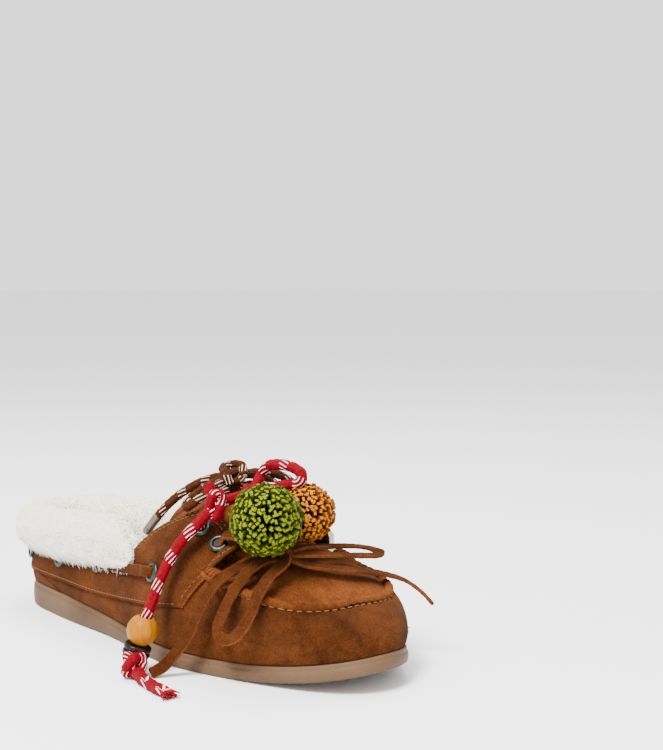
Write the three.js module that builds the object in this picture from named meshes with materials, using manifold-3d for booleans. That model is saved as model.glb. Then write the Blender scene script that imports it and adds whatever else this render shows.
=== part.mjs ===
// A lined slip-on shoe for the wearer's right foot, in millimetres.
// X runs from heel to toe, Z is up, the lateral (outer) side is at negative Y.
// The origin lies on the floor, half way along the sole.
import * as THREE from 'three';
import { mergeVertices } from 'three/addons/utils/BufferGeometryUtils.js';
import Module from 'manifold-3d';

const wasm = await Module();
wasm.setup();

// Sole
const SOLE_LENGTH = 258;
const BALL_WIDTH = 86;
const HEEL_RADIUS = 31;
const TOE_RADIUS = 26;
const HEEL_THICKNESS = 13.3;
const FOREFOOT_THICKNESS = 7.4;
const TOE_SPRING = 9.5;
const SOLE_EDGE_ROUND = 1.6;
const SOLE_LIP = 0.5;
const SOLE_LIP_HEIGHT = 2.4;
const ARCH_RISE = 0.8;
const TREAD_PITCH = 13;
const TREAD_GROOVE_WIDTH = 2.6;
const TREAD_GROOVE_DEPTH = 1.5;

// Upper
const WALL = 2.4;
const GAP = 0.3;
const FEATHER_INSET = 1.2;
const HEEL_HEIGHT = 38;
const INSTEP_HEIGHT = 76;
const SEAM_END_X = 54;
const PLUG_LENGTH = 52;
const PLUG_HALF_WIDTH = 39;
const PLUG_CENTRE_Y = 1.8;
const PLUG_FULLNESS = 3.3;
const SEAM_END_HEIGHT = 44;
const SEAM_TIP_HEIGHT = 34.8;
const MEDIAL_SEAM_DROP = 1.8;
const PLUG_CROWN_HEIGHT = 56;
const PLUG_ARCH = 1.7;
const SEAM_RIDGE_RADIUS = 2.1;
const BAND_PROUD = 1.5;
const BAND_BURIED = 0.9;
const COUNTER_PROUD = 0.7;
const INSOLE_THICKNESS = 5;

// Tongue
const TONGUE_THICKNESS = 3;
const TONGUE_WIDTH = 50;
const TONGUE_BULGE = 2.8;
const TONGUE_DIP = 3.5;
const TONGUE_FRONT_X = 52;
const TONGUE_TOP_X = -3;

// Fur collar
const FUR_HEIGHT = 19;
const FUR_SIDE_RISE = 5;
const FUR_OUTER = 9;
const FUR_INNER = 13;
const FUR_LOCK_DEPTH = 2;
const FUR_LOCK_RADIUS = 2;
const FUR_END_X = -15;
const FUR_END_LEAN = 8;
const FUR_END_LIFT = 3;

// Eyelets, cords and beads
const EYELET_OUTER_RADIUS = 4.6;
const EYELET_HOLE_RADIUS = 2.6;
const EYELET_HEIGHT = 1.1;
const THONG_WIDTH = 4.2;
const THONG_THICKNESS = 1.8;
const LACE_DIAMETER = 4.2;
const LACE_BAR_BOW = 17;
const RED_CORD_DIAMETER = 5.2;
const RED_TAIL_DIAMETER = 4;
const POMPOM_RADIUS = 16.6;
const SMALL_POMPOM_RADIUS = 14.2;
const POMPOM_STRIP_WIDTH = 4.4;
const POMPOM_STRIP_THICKNESS = 2.4;
const BEAD_RADIUS = 7.1;
const BEAD_HEIGHT = 12.4;
const DISC_RADIUS = 6.2;
const DISC_THICKNESS = 2.5;

const HORN_RADIUS = 7;
const HORN_LENGTH = 17.5;
const CARVED_RADIUS = 6.8;
const CARVED_HEIGHT = 12.4;
const CHESTNUT_RADIUS = 5.8;
const CHESTNUT_HEIGHT = 9.6;

const QUARTER_TURN = Math.PI / 2;
const HALF_LENGTH = SOLE_LENGTH / 2;

// Outline rows: u is the share of the sole's length from the heel,
// width is that side's half-width as a share of the ball width.
const LATERAL_OUTLINE = [
  { u: 0.08, width: 0.298 },
  { u: 0.18, width: 0.347 },
  { u: 0.40, width: 0.411 },
  { u: 0.62, width: 0.510 },
  { u: 0.80, width: 0.414 },
  { u: 0.93, width: 0.288 },
];
const MEDIAL_OUTLINE = [
  { u: 0.08, width: 0.298 },
  { u: 0.18, width: 0.347 },
  { u: 0.42, width: 0.300 },
  { u: 0.72, width: 0.486 },
  { u: 0.86, width: 0.455 },
  { u: 0.95, width: 0.289 },
];
// Shoulder rows behind the plug: inset is a share of the ball width, height a share of the heel height.
const SHOULDER = [
  { u: 0.00, inset: 0.012, medialInset: 0.012, height: 1.00 },
  { u: 0.20, inset: 0.020, medialInset: 0.020, height: 0.97 },
  { u: 0.45, inset: 0.045, medialInset: 0.030, height: 1.07 },
  { u: 0.60, inset: 0.062, medialInset: 0.030, height: 1.14 },
  { u: 0.71, inset: 0.075, medialInset: 0.010, height: SEAM_END_HEIGHT / HEEL_HEIGHT },
];
// Facing rows: crown is the height of the arch over the instep as a share of the instep height,
// edge is how far up that arch the facing reaches.
const FACING = [
  { u: 0.450, crown: 0.84, edge: 0.00 },
  { u: 0.475, crown: 0.88, edge: 0.18 },
  { u: 0.530, crown: 0.95, edge: 0.38 },
  { u: 0.600, crown: 1.00, edge: 0.52 },
  { u: 0.645, crown: 0.97, edge: 0.62 },
  { u: 0.710, crown: 0.82, edge: 0.62 },
  { u: 0.900, crown: 0.78, edge: 0.60 },
];
// Lower edge of the quarter band, as a share of the heel height.
const BAND_FOOT = [
  { u: 0.00, height: 0.50 },
  { u: 0.20, height: 0.53 },
  { u: 0.35, height: 0.53 },
  { u: 0.50, height: 0.61 },
  { u: 0.65, height: 0.73 },
  { u: 0.75, height: 0.78 },
];
// Outline angles of the facings' front edge at its foot and at its top, in degrees.
const BAND_FRONT = {
  lateral: { foot: 108, top: 122 },
  medial: { foot: 108, top: 117 },
};

const radians = (degrees) => degrees * Math.PI / 180;
const mix = (a, b, k) => a + (b - a) * k;
const clamp = (value, low, high) => Math.min(high, Math.max(low, value));

// Smooth value of one column of a table at u, by cubic Hermite pieces between its rows.
function along(table, column, u, key = 'u') {
  const last = table.length - 1;
  if (u <= table[0][key]) return table[0][column];
  if (u >= table[last][key]) return table[last][column];
  let i = 0;
  while (table[i + 1][key] < u) i += 1;
  const slope = (j) => {
    const a = Math.max(0, j - 1);
    const b = Math.min(last, j + 1);
    return (table[b][column] - table[a][column]) / (table[b][key] - table[a][key]);
  };
  const step = table[i + 1][key] - table[i][key];
  const k = (u - table[i][key]) / step;
  const k2 = k * k;
  const k3 = k2 * k;
  return (2 * k3 - 3 * k2 + 1) * table[i][column] + (k3 - 2 * k2 + k) * step * slope(i)
    + (3 * k2 - 2 * k3) * table[i + 1][column] + (k3 - k2) * step * slope(i + 1);
}

// Outline roundness: half-width over the sine of the outline angle, so that the ends are true arcs.
function roundness(rows) {
  const ends = [HEEL_RADIUS, TOE_RADIUS].map((radius) => Math.sqrt(radius * HALF_LENGTH));
  const inner = rows.map(({ u, width }) => ({ u, k: width * BALL_WIDTH / (2 * Math.sqrt(u * (1 - u))) }));
  return [{ u: 0, k: ends[0] }, ...inner, { u: 1, k: ends[1] }];
}
const LATERAL_ROUNDNESS = roundness(LATERAL_OUTLINE);
const MEDIAL_ROUNDNESS = roundness(MEDIAL_OUTLINE);

// Share of the length at an outline angle: 0 at the heel, pi at the toe, lateral side first.
const shareAt = (angle) => (1 - Math.cos(angle)) / 2;
const angleAt = (x) => Math.acos(clamp(-x / HALF_LENGTH, -1, 1));

function outlinePoint(angle) {
  const rows = Math.sin(angle) >= 0 ? LATERAL_ROUNDNESS : MEDIAL_ROUNDNESS;
  const u = shareAt(angle);
  return new THREE.Vector3(HALF_LENGTH * (2 * u - 1), -along(rows, 'k', u) * Math.sin(angle), 0);
}

// Outline moved inwards by inset, measured along the plan normal.
function insetOutline(angle, inset) {
  const step = 0.01;
  const ahead = outlinePoint(angle + step).sub(outlinePoint(angle - step)).normalize();
  return outlinePoint(angle).add(new THREE.Vector3(-ahead.y, ahead.x, 0).multiplyScalar(inset));
}

const springAt = (u) => TOE_SPRING * Math.max(0, (u - 0.72) / 0.28) ** 2;
const soleBottom = (u) => springAt(u);
const soleTop = (u) => springAt(u)
  + mix(HEEL_THICKNESS, FOREFOOT_THICKNESS, THREE.MathUtils.smoothstep(u, 0.12, 0.58));

// Closed solid between an outer and an inner grid of points, rows along one way, columns the other.
function wallSolid(outer, inner, ring) {
  const rows = outer.length;
  const columns = outer[0].length;
  const positions = [...outer.flat(), ...inner.flat()].flatMap((p) => [p.x, p.y, p.z]);
  const faces = [];
  const out = (i, j) => (i % rows) * columns + j;
  const inn = (i, j) => rows * columns + out(i, j);
  const quad = (a, b, c, d) => faces.push(a, b, c, a, c, d);
  const steps = ring ? rows : rows - 1;
  for (let i = 0; i < steps; i += 1) {
    for (let j = 0; j < columns - 1; j += 1) {
      quad(out(i, j), out(i + 1, j), out(i + 1, j + 1), out(i, j + 1));
      quad(inn(i, j), inn(i, j + 1), inn(i + 1, j + 1), inn(i + 1, j));
    }
    quad(out(i, 0), inn(i, 0), inn(i + 1, 0), out(i + 1, 0));
    quad(out(i, columns - 1), out(i + 1, columns - 1), inn(i + 1, columns - 1), inn(i, columns - 1));
  }
  if (!ring) {
    for (let j = 0; j < columns - 1; j += 1) {
      quad(out(0, j), out(0, j + 1), inn(0, j + 1), inn(0, j));
      quad(out(rows - 1, j), inn(rows - 1, j), inn(rows - 1, j + 1), out(rows - 1, j + 1));
    }
  }
  return outwards(positions, faces);
}

// Closed solid through a row of section rings with the same number of points; ends are capped.
function loft(rings, ring = false) {
  const count = rings[0].length;
  const positions = rings.flat().flatMap((p) => [p.x, p.y, p.z]);
  const faces = [];
  const at = (i, j) => (i % rings.length) * count + (j % count);
  const steps = ring ? rings.length : rings.length - 1;
  for (let i = 0; i < steps; i += 1) {
    for (let j = 0; j < count; j += 1) {
      faces.push(at(i, j), at(i + 1, j), at(i + 1, j + 1), at(i, j), at(i + 1, j + 1), at(i, j + 1));
    }
  }
  if (!ring) {
    const end = rings.length - 1;
    for (let j = 1; j < count - 1; j += 1) {
      faces.push(at(0, 0), at(0, j), at(0, j + 1), at(end, 0), at(end, j + 1), at(end, j));
    }
  }
  return outwards(positions, faces);
}

// Mesh with its faces turned outwards, whichever way round its grid was walked.
function outwards(positions, faces) {
  let volume = 0;
  const at = (k) => new THREE.Vector3().fromArray(positions, 3 * k);
  for (let i = 0; i < faces.length; i += 3) {
    volume += at(faces[i]).dot(at(faces[i + 1]).cross(at(faces[i + 2])));
  }
  const index = volume > 0 ? faces : faces.slice().reverse();
  const geometry = new THREE.BufferGeometry();
  geometry.setAttribute('position', new THREE.Float32BufferAttribute(positions, 3));
  geometry.setIndex(index);
  return geometry;
}

function toSolid(geometry) {
  const bare = geometry.clone();
  bare.deleteAttribute('normal');
  bare.deleteAttribute('uv');
  const merged = mergeVertices(bare, 1e-4);
  return new wasm.Manifold(new wasm.Mesh({
    numProp: 3,
    vertProperties: new Float32Array(merged.attributes.position.array),
    triVerts: new Uint32Array(merged.index.array),
  }));
}

function toGeometry(solid) {
  const mesh = solid.getMesh();
  const geometry = new THREE.BufferGeometry();
  geometry.setAttribute('position', new THREE.BufferAttribute(mesh.vertProperties, 3));
  geometry.setIndex(new THREE.BufferAttribute(mesh.triVerts, 1));
  return geometry;
}

const joined = (geometries) => toGeometry(geometries.map(toSolid).reduce((a, b) => a.add(b)));

const shoe = new THREE.Group();
shoe.name = 'lined_slip_on_shoe';

function addPiece(name, geometry, [colour, roughness, metalness = 0]) {
  const material = new THREE.MeshStandardMaterial({ color: colour, roughness, metalness });
  const mesh = new THREE.Mesh(geometry, material);
  mesh.name = name;
  shoe.add(mesh);
}

const SUEDE = ['#8a4a24', 0.95];
const RUBBER = ['#97806d', 0.7];
const FLEECE = ['#f1ebdf', 1];
const EYELET_METAL = ['#46514b', 0.45, 0.8];
const BROWN_LACE = ['#7a4324', 0.8];
const RED_CORD = ['#c3122c', 0.75];
const GREEN_LEATHER = ['#7f9a1e', 0.6];
const MUSTARD_LEATHER = ['#d38d25', 0.6];
const AMBER_WOOD = ['#efab3c', 0.4];
const DARK_WOOD = ['#3a2424', 0.5];
const HORN = ['#ddd2bd', 0.4];
const TAN_WOOD = ['#d99c6b', 0.5];
const CHESTNUT_WOOD = ['#a65419', 0.3];

// Outsole: sections across the shoe, lofted from heel to toe, with the tread grooves cut in.
function soleSection(angle) {
  const u = shareAt(angle);
  const lateral = outlinePoint(angle).y;
  const medial = outlinePoint(-angle).y;
  const half = (medial - lateral) / 2;
  const round = Math.min(SOLE_EDGE_ROUND, half * 0.4);
  const lip = Math.min(SOLE_LIP, half * 0.2);
  const x = outlinePoint(angle).x;
  const arch = ARCH_RISE * Math.sin(Math.PI * clamp((u - 0.26) / 0.2, 0, 1)) ** 2;
  const low = soleBottom(u);
  const high = soleTop(u);
  const at = (y, z) => new THREE.Vector3(x, y, z);
  return [
    at(lateral + round, low + arch),
    at(lateral, low + arch + round),
    at(lateral, high - SOLE_LIP_HEIGHT),
    at(lateral + lip, high - SOLE_LIP_HEIGHT + lip),
    at(lateral + lip, high),
    at(medial - lip, high),
    at(medial - lip, high - SOLE_LIP_HEIGHT + lip),
    at(medial, high - SOLE_LIP_HEIGHT),
    at(medial, low + arch + round),
    at(medial - round, low + arch),
  ];
}

function treadGroove(x) {
  const u = x / SOLE_LENGTH + 0.5;
  const top = soleBottom(u) + TREAD_GROOVE_DEPTH;
  const margin = 9;
  const lateral = outlinePoint(angleAt(x)).y + margin;
  const medial = outlinePoint(-angleAt(x)).y - margin;
  const groove = new THREE.BoxGeometry(TREAD_GROOVE_WIDTH, medial - lateral, top + 2);
  groove.translate(x, (medial + lateral) / 2, top / 2 - 1);
  return groove;
}

function outsole() {
  const stations = 32;
  const endAngle = radians(4);
  const sections = [];
  for (let i = 0; i <= stations; i += 1) {
    sections.push(soleSection(mix(endAngle, Math.PI - endAngle, i / stations)));
  }
  let sole = toSolid(loft(sections));
  const grooveRuns = [
    { from: -0.44, to: -0.27 },
    { from: 0.06, to: 0.42 },
  ];
  for (const { from, to } of grooveRuns) {
    const copies = Math.floor((to - from) * SOLE_LENGTH / TREAD_PITCH);
    for (let i = 0; i <= copies; i += 1) {
      sole = sole.subtract(toSolid(treadGroove(from * SOLE_LENGTH + i * TREAD_PITCH)));
    }
  }
  return toGeometry(sole);
}

addPiece('outsole', outsole(), RUBBER);

// Insole: the padded footbed inside the wall.
function insole() {
  const stations = 24;
  const endAngle = radians(7);
  const inset = FEATHER_INSET + WALL + 2.2;
  const rings = [];
  for (let i = 0; i <= stations; i += 1) {
    const angle = mix(endAngle, Math.PI - endAngle, i / stations);
    const lateral = insetOutline(angle, inset);
    const medial = insetOutline(-angle, inset);
    const x = lateral.x;
    const low = soleTop(clamp(x / SOLE_LENGTH + 0.5, 0, 1)) + GAP;
    const at = (y, z) => new THREE.Vector3(x, y, z);
    const edge = Math.min(2, (medial.y - lateral.y) * 0.2);
    rings.push([
      at(lateral.y, low),
      at(lateral.y, low + INSOLE_THICKNESS * 0.6),
      at(lateral.y + edge, low + INSOLE_THICKNESS),
      at(medial.y - edge, low + INSOLE_THICKNESS),
      at(medial.y, low + INSOLE_THICKNESS * 0.6),
      at(medial.y, low),
    ]);
  }
  return loft(rings);
}

addPiece('insole', insole(), FLEECE);

// The form of the last. Every outline angle has a wall from the feather edge up to the shoulder,
// then an arch from the shoulder to the crown over the instep, or to the middle of the plug.
const SEAM_END_ANGLE = angleAt(SEAM_END_X);
const isFront = (angle) => Math.cos(angle) < Math.cos(SEAM_END_ANGLE);

function shoulderPoint(angle) {
  const u = shareAt(angle);
  if (isFront(angle)) {
    const wholeTurn = THREE.MathUtils.euclideanModulo(angle, 2 * Math.PI);
    const turn = (wholeTurn - Math.PI) / (Math.PI - SEAM_END_ANGLE);
    const phi = turn * QUARTER_TURN;
    const c = Math.cos(phi);
    const s = Math.sin(phi);
    const reach = (Math.abs(c) ** PLUG_FULLNESS + Math.abs(s) ** PLUG_FULLNESS) ** (-1 / PLUG_FULLNESS);
    return new THREE.Vector3(
      SEAM_END_X + PLUG_LENGTH * c * reach,
      PLUG_CENTRE_Y + PLUG_HALF_WIDTH * s * reach,
      mix(SEAM_END_HEIGHT, SEAM_TIP_HEIGHT, c * reach) - MEDIAL_SEAM_DROP * clamp(3 * turn, 0, 1),
    );
  }
  const column = Math.sin(angle) >= 0 ? 'inset' : 'medialInset';
  const point = insetOutline(angle, along(SHOULDER, column, u) * BALL_WIDTH);
  const drop = Math.sin(angle) < 0 ? MEDIAL_SEAM_DROP * THREE.MathUtils.smoothstep(u, 0.5, 0.71) : 0;
  point.z = along(SHOULDER, 'height', u) * HEEL_HEIGHT - drop;
  return point;
}

function featherPoint(angle) {
  const point = insetOutline(angle, FEATHER_INSET);
  point.z = soleTop(shareAt(angle)) + GAP;
  return point;
}

// Point on the last: t from 0 to 1 climbs the wall, t from 1 to 2 follows the arch to the crown.
function lastPoint(angle, t, plug) {
  const shoulder = shoulderPoint(angle);
  if (t <= 1) {
    const foot = featherPoint(angle);
    const outward = foot.clone().sub(insetOutline(angle, FEATHER_INSET + 1)).setZ(0);
    const climb = shoulder.z - foot.z;
    const lean = foot.clone().sub(shoulder).setZ(0).length();
    const low = foot.clone().addScaledVector(outward, 2.6).setZ(foot.z + climb * 0.36);
    const highLean = Math.min(lean * 0.62, 14);
    const high = shoulder.clone().addScaledVector(outward, highLean).setZ(shoulder.z - climb * 0.18);
    return new THREE.CubicBezierCurve3(foot, low, high, shoulder).getPoint(t);
  }
  const climbShare = (t - 1) * QUARTER_TURN;
  const crownX = Math.min(shoulder.x, SEAM_END_X);
  const u = shareAt(angle);
  const crownHeight = plug ? PLUG_CROWN_HEIGHT : along(FACING, 'crown', u) * INSTEP_HEIGHT;
  const out = Math.cos(climbShare);
  const rise = plug ? 1 - out ** PLUG_ARCH : Math.sin(climbShare);
  return new THREE.Vector3(
    mix(crownX, shoulder.x, out),
    mix(PLUG_CENTRE_Y, shoulder.y, out),
    mix(shoulder.z, crownHeight, rise),
  );
}

// The same point moved off the last along its normal.
function offLast(angle, t, offset, plug = false) {
  const step = 0.02;
  const turn = 0.012;
  const up = lastPoint(angle, t + step, plug).sub(lastPoint(angle, Math.max(0, t - step), plug));
  const ahead = lastPoint(angle + turn, t, plug).sub(lastPoint(angle - turn, t, plug));
  return lastPoint(angle, t, plug).addScaledVector(ahead.cross(up).normalize(), offset);
}

// How far up the wall a height lies, found by halving.
function wallShareAt(angle, height) {
  let low = 0;
  let high = 1;
  for (let i = 0; i < 18; i += 1) {
    const middle = (low + high) / 2;
    if (lastPoint(angle, middle).z < height) low = middle;
    else high = middle;
  }
  return low;
}

function gridOff(rows, columns, place, offset) {
  const grid = [];
  for (let i = 0; i <= rows; i += 1) {
    const row = [];
    for (let j = 0; j <= columns; j += 1) row.push(place(i / rows, j / columns, offset));
    grid.push(row);
  }
  return grid;
}

// Vamp and lower quarter: one wall all the way round, up to the plug seam or under the band.
function lowerWall() {
  const stations = 48;
  const place = (s, v, offset) => {
    const angle = s * 2 * Math.PI;
    const top = isFront(angle) ? 1 : 0.9;
    return offLast(angle, v * top, offset);
  };
  const outer = gridOff(stations, 5, place, 0).slice(0, -1);
  const inner = gridOff(stations, 5, place, -WALL).slice(0, -1);
  return wallSolid(outer, inner, true);
}

function plugPlate() {
  const edge = Math.PI - SEAM_END_ANGLE;
  const place = (s, v, offset) => {
    const angle = Math.PI + mix(-0.995, 0.995, s) * edge;
    return offLast(angle, mix(1.02, 1.94, v), offset, true);
  };
  return wallSolid(gridOff(18, 4, place, 0), gridOff(18, 4, place, -WALL), false);
}

function seamRidge() {
  const edge = Math.PI - SEAM_END_ANGLE;
  const points = [];
  for (let i = 0; i <= 24; i += 1) {
    points.push(shoulderPoint(Math.PI + mix(-0.985, 0.985, i / 24) * edge).add(new THREE.Vector3(0, 0, 0.3)));
  }
  return tube(new THREE.CatmullRomCurve3(points), SEAM_RIDGE_RADIUS, 6, 30);
}

// Round bar along a curve.
function tube(curve, radius, sides, steps) {
  const section = new THREE.Shape();
  for (let i = 0; i < sides; i += 1) {
    const turn = 2 * Math.PI * i / sides;
    section[i ? 'lineTo' : 'moveTo'](radius * Math.cos(turn), radius * Math.sin(turn));
  }
  return new THREE.ExtrudeGeometry(section, { steps, extrudePath: curve, curveSegments: 1, bevelEnabled: false });
}

// Quarter band with its two facings: one strip round the heel, a step proud of the wall.
function quarterBand(proud = BAND_PROUD) {
  const place = (s, v, offset) => {
    const side = 2 * s - 1;
    const { foot, top } = side > 0 ? BAND_FRONT.lateral : BAND_FRONT.medial;
    const front = radians(mix(foot, top, v));
    const reach = Math.sign(side) * Math.abs(side) ** 0.9 * front;
    const u = shareAt(reach);
    const low = wallShareAt(reach, along(BAND_FOOT, 'height', u) * HEEL_HEIGHT);
    const high = 1 + along(FACING, 'edge', u);
    return offLast(reach, mix(low, high, v), offset);
  };
  return wallSolid(gridOff(42, 6, place, proud), gridOff(42, 6, place, -BAND_BURIED), false);
}

// Heel counter below the band.
function heelCounter() {
  const place = (s, v, offset) => {
    const reach = radians(mix(-1, 1, s) * mix(66, 44, v));
    const low = wallShareAt(reach, HEEL_HEIGHT * 0.56);
    return offLast(reach, mix(0.01, low, v), offset);
  };
  return wallSolid(gridOff(12, 2, place, COUNTER_PROUD), gridOff(12, 2, place, -BAND_BURIED), false);
}

addPiece('upper', joined([lowerWall(), plugPlate(), seamRidge(), quarterBand(), heelCounter()]), SUEDE);

// Arch of the facings over a plan position, and the tongue that lies under them.
function archHeight(x, y) {
  const u = x / SOLE_LENGTH + 0.5;
  const side = y < PLUG_CENTRE_Y ? 1 : -1;
  const shoulder = shoulderPoint(side * Math.min(angleAt(x), SEAM_END_ANGLE));
  const crown = along(FACING, 'crown', u) * INSTEP_HEIGHT;
  const across = clamp((y - PLUG_CENTRE_Y) / (shoulder.y - PLUG_CENTRE_Y), -1, 1);
  return mix(shoulder.z, crown, Math.sqrt(1 - across * across));
}

function tonguePoint(s, v, offset) {
  const across = 2 * v - 1;
  const y = PLUG_CENTRE_Y + across * TONGUE_WIDTH / 2;
  const x = mix(TONGUE_FRONT_X, TONGUE_TOP_X + 12 * across ** 4, s);
  const bulge = TONGUE_BULGE * Math.max(0, 1 - (across / 0.72) ** 2) ** 1.5 * THREE.MathUtils.smoothstep(s, 0, 0.5);
  const dip = TONGUE_DIP * (1 - THREE.MathUtils.smoothstep(s, 0, 0.3));
  const under = (BAND_BURIED + 4 * GAP) * (1 + 1.3 * across * across);
  return new THREE.Vector3(x, y, archHeight(x, y) - under - dip + bulge + offset);
}

addPiece('tongue', wallSolid(gridOff(9, 10, tonguePoint, 0), gridOff(9, 10, tonguePoint, -TONGUE_THICKNESS)), SUEDE);

// Repeatable scatter from 0 to 1, so that locks and strips always fall the same way.
const scatter = (i, j = 0) => THREE.MathUtils.euclideanModulo(Math.sin(i * 12.9898 + j * 78.233) * 43758.5453, 1);

// Fur collar: the fleece lining folded out over the top edge, from one facing round the heel to the other.
const FUR_SECTION = [
  { out: -0.05, up: 1.00 },
  { out: -0.62, up: 0.88 },
  { out: -0.95, up: 0.50 },
  { out: -1.00, up: 0.05 },
  { out: -0.78, up: -0.42 },
  { out: 'inside', up: -0.42 },
  { out: 'inside', up: 0.10 },
  { out: 'slot', up: 0.10 },
  { out: 'flap', up: 0.02 },
  { out: 'flapFoot', up: -0.15 },
  { out: 0.78, up: -0.22 },
  { out: 0.97, up: -0.06 },
  { out: 1.00, up: 0.24 },
  { out: 0.90, up: 0.58 },
  { out: 0.52, up: 0.86 },
];
const FUR_FACE = {
  slot: BAND_PROUD + 4 * GAP,
  flap: BAND_PROUD + THONG_THICKNESS + 6 * GAP,
  flapFoot: BAND_PROUD + THONG_THICKNESS + 11 * GAP,
  inside: -WALL - 5 * GAP,
};

function furRing(angle, row) {
  const shoulder = shoulderPoint(angle);
  const outward = shoulder.clone().sub(insetOutline(angle, 12)).setZ(0).normalize();
  const endShare = clamp((Math.abs(angle) / angleAt(FUR_END_X) - 0.84) / 0.16, 0, 1);
  const end = Math.sqrt(1 - 0.75 * endShare * endShare);
  const ahead = new THREE.Vector3(-outward.y, outward.x, 0).multiplyScalar(-Math.sign(outward.y));
  return FUR_SECTION.map(({ out, up }, column) => {
    const fixed = typeof out === 'string';
    const swell = fixed ? 0 : FUR_LOCK_DEPTH * (scatter(row, column) - 0.5);
    const reach = fixed ? FUR_FACE[out] : out * (out > 0 ? FUR_OUTER : FUR_INNER) + Math.sign(out) * swell;
    const height = FUR_HEIGHT + FUR_SIDE_RISE * (3.2 * shareAt(angle) - 0.7);
    const lift = up > 0.05 ? FUR_END_LIFT * endShare : 0;
    const rise = fixed ? up * FUR_HEIGHT + lift : up * (up > 0 ? height : FUR_HEIGHT) + (up > 0.4 ? swell : 0);
    const lean = fixed || out < 0 ? 0 : FUR_END_LEAN * endShare * out;
    return shoulder.clone()
      .addScaledVector(outward, reach * (fixed ? 1 : end))
      .addScaledVector(ahead, lean)
      .add(new THREE.Vector3(0, 0, rise * (up > 0.1 ? end : 1)));
  });
}

function furCollar() {
  const reach = angleAt(FUR_END_X);
  const stations = 28;
  const rings = [];
  for (let i = 0; i <= stations; i += 1) rings.push(furRing(mix(-reach, reach, i / stations), i));
  let fur = toSolid(loft(rings));
  const locks = 22;
  for (let i = 0; i < locks; i += 1) {
    const angle = mix(-0.95, 0.95, (i + 0.5) / locks) * reach;
    const ring = furRing(angle, 0);
    const length = mix(3.5, 6, scatter(i, 3));
    const lock = new THREE.ConeGeometry(FUR_LOCK_RADIUS, length, 4);
    lock.rotateX(-QUARTER_TURN + 0.3 * (scatter(i, 5) - 0.5));
    const root = ring[10].clone().lerp(ring[11], 0.25);
    lock.translate(root.x, root.y, root.z - length * 0.18);
    fur = fur.add(toSolid(lock));
  }
  return toGeometry(fur);
}


// Eyelets: metal rings on the band, four along each side and two on each facing.
// t is the place on the last: up to 1 on the wall, above 1 on the facing's arch.
const EYELETS = [
  { x: -114, t: 0.62, lift: 0 },
  { x: -77, t: 0.72, lift: 0 },
  { x: -39, t: 0.80, lift: 0 },
  { x: 15, t: 0.87, lift: 0 },
  { x: 51, t: 1.40, lift: 0.6 },
  { x: 39, t: 1.43, lift: 0 },
];
const SIDES = { lateral: 1, medial: -1 };

// Place on the last at a distance along the shoe, on one side, lifted off the surface.
const onLast = (side, x, t, offset) => offLast(SIDES[side] * angleAt(x), t, offset);

function eyelet(side, { x, t, lift }) {
  const ring = new THREE.LatheGeometry([
    new THREE.Vector2(EYELET_HOLE_RADIUS, 0),
    new THREE.Vector2(EYELET_OUTER_RADIUS, 0),
    new THREE.Vector2(EYELET_OUTER_RADIUS - 0.5, EYELET_HEIGHT),
    new THREE.Vector2(EYELET_HOLE_RADIUS, EYELET_HEIGHT),
    new THREE.Vector2(EYELET_HOLE_RADIUS, 0),
  ], 8);
  const seat = onLast(side, x, t, BAND_PROUD + 2 * GAP + lift);
  const normal = onLast(side, x, t, BAND_PROUD + 5).sub(seat).normalize();
  ring.applyQuaternion(new THREE.Quaternion().setFromUnitVectors(new THREE.Vector3(0, 1, 0), normal));
  ring.translate(seat.x, seat.y, seat.z);
  return ring;
}

for (const side of Object.keys(SIDES)) {
  EYELETS.forEach((place, i) => addPiece(`eyelet_${side}_${i + 1}`, eyelet(side, place), EYELET_METAL));
}

// Strip of thong along points, its flat face turned to the given directions at its two ends.
function strip(points, faceStart, faceEnd = faceStart, grow = 0) {
  const curve = new THREE.CatmullRomCurve3(points, false, 'centripetal');
  const steps = Math.max(2, Math.round(curve.getLength() / 8));
  const rings = [];
  for (let i = 0; i <= steps; i += 1) {
    const centre = curve.getPointAt(i / steps);
    const ahead = curve.getTangentAt(i / steps);
    const face = faceStart.clone().lerp(faceEnd, i / steps);
    const across = ahead.clone().cross(face).normalize().multiplyScalar(THONG_WIDTH / 2 + grow);
    const up = across.clone().cross(ahead).normalize().multiplyScalar(THONG_THICKNESS / 2 + grow);
    rings.push([
      centre.clone().sub(across).sub(up),
      centre.clone().add(across).sub(up),
      centre.clone().add(across).add(up),
      centre.clone().sub(across).add(up),
    ]);
  }
  return loft(rings);
}

// Round cord along points.
function cord(points, diameter, grow = 0) {
  const curve = new THREE.CatmullRomCurve3(points, false, 'centripetal');
  const steps = Math.max(2, Math.round(curve.getLength() / (2.2 * diameter)));
  return tube(curve, diameter / 2 + grow, 8, steps);
}

// Rounded lump, such as a knot: three half-sizes and a place.
function lump(centre, [rx, ry, rz], grow = 0) {
  const form = new THREE.SphereGeometry(1, 8, 6);
  form.rotateX(QUARTER_TURN);
  form.scale(rx + grow, ry + grow, rz + grow);
  form.translate(centre.x, centre.y, centre.z);
  return form;
}

// First solid with room cut round the others; crumbs that the cuts leave are dropped.
function clearOf(geometry, others) {
  let solid = toSolid(geometry);
  for (const other of others) solid = solid.subtract(toSolid(other));
  const parts = solid.decompose().sort((a, b) => b.volume() - a.volume());
  return toGeometry(parts[0]);
}

const at = (x, y, z) => new THREE.Vector3(x, y, z);
const OUTWARD = { lateral: at(0, -1, 0.2), medial: at(0, 1, 0.2) };

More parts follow.
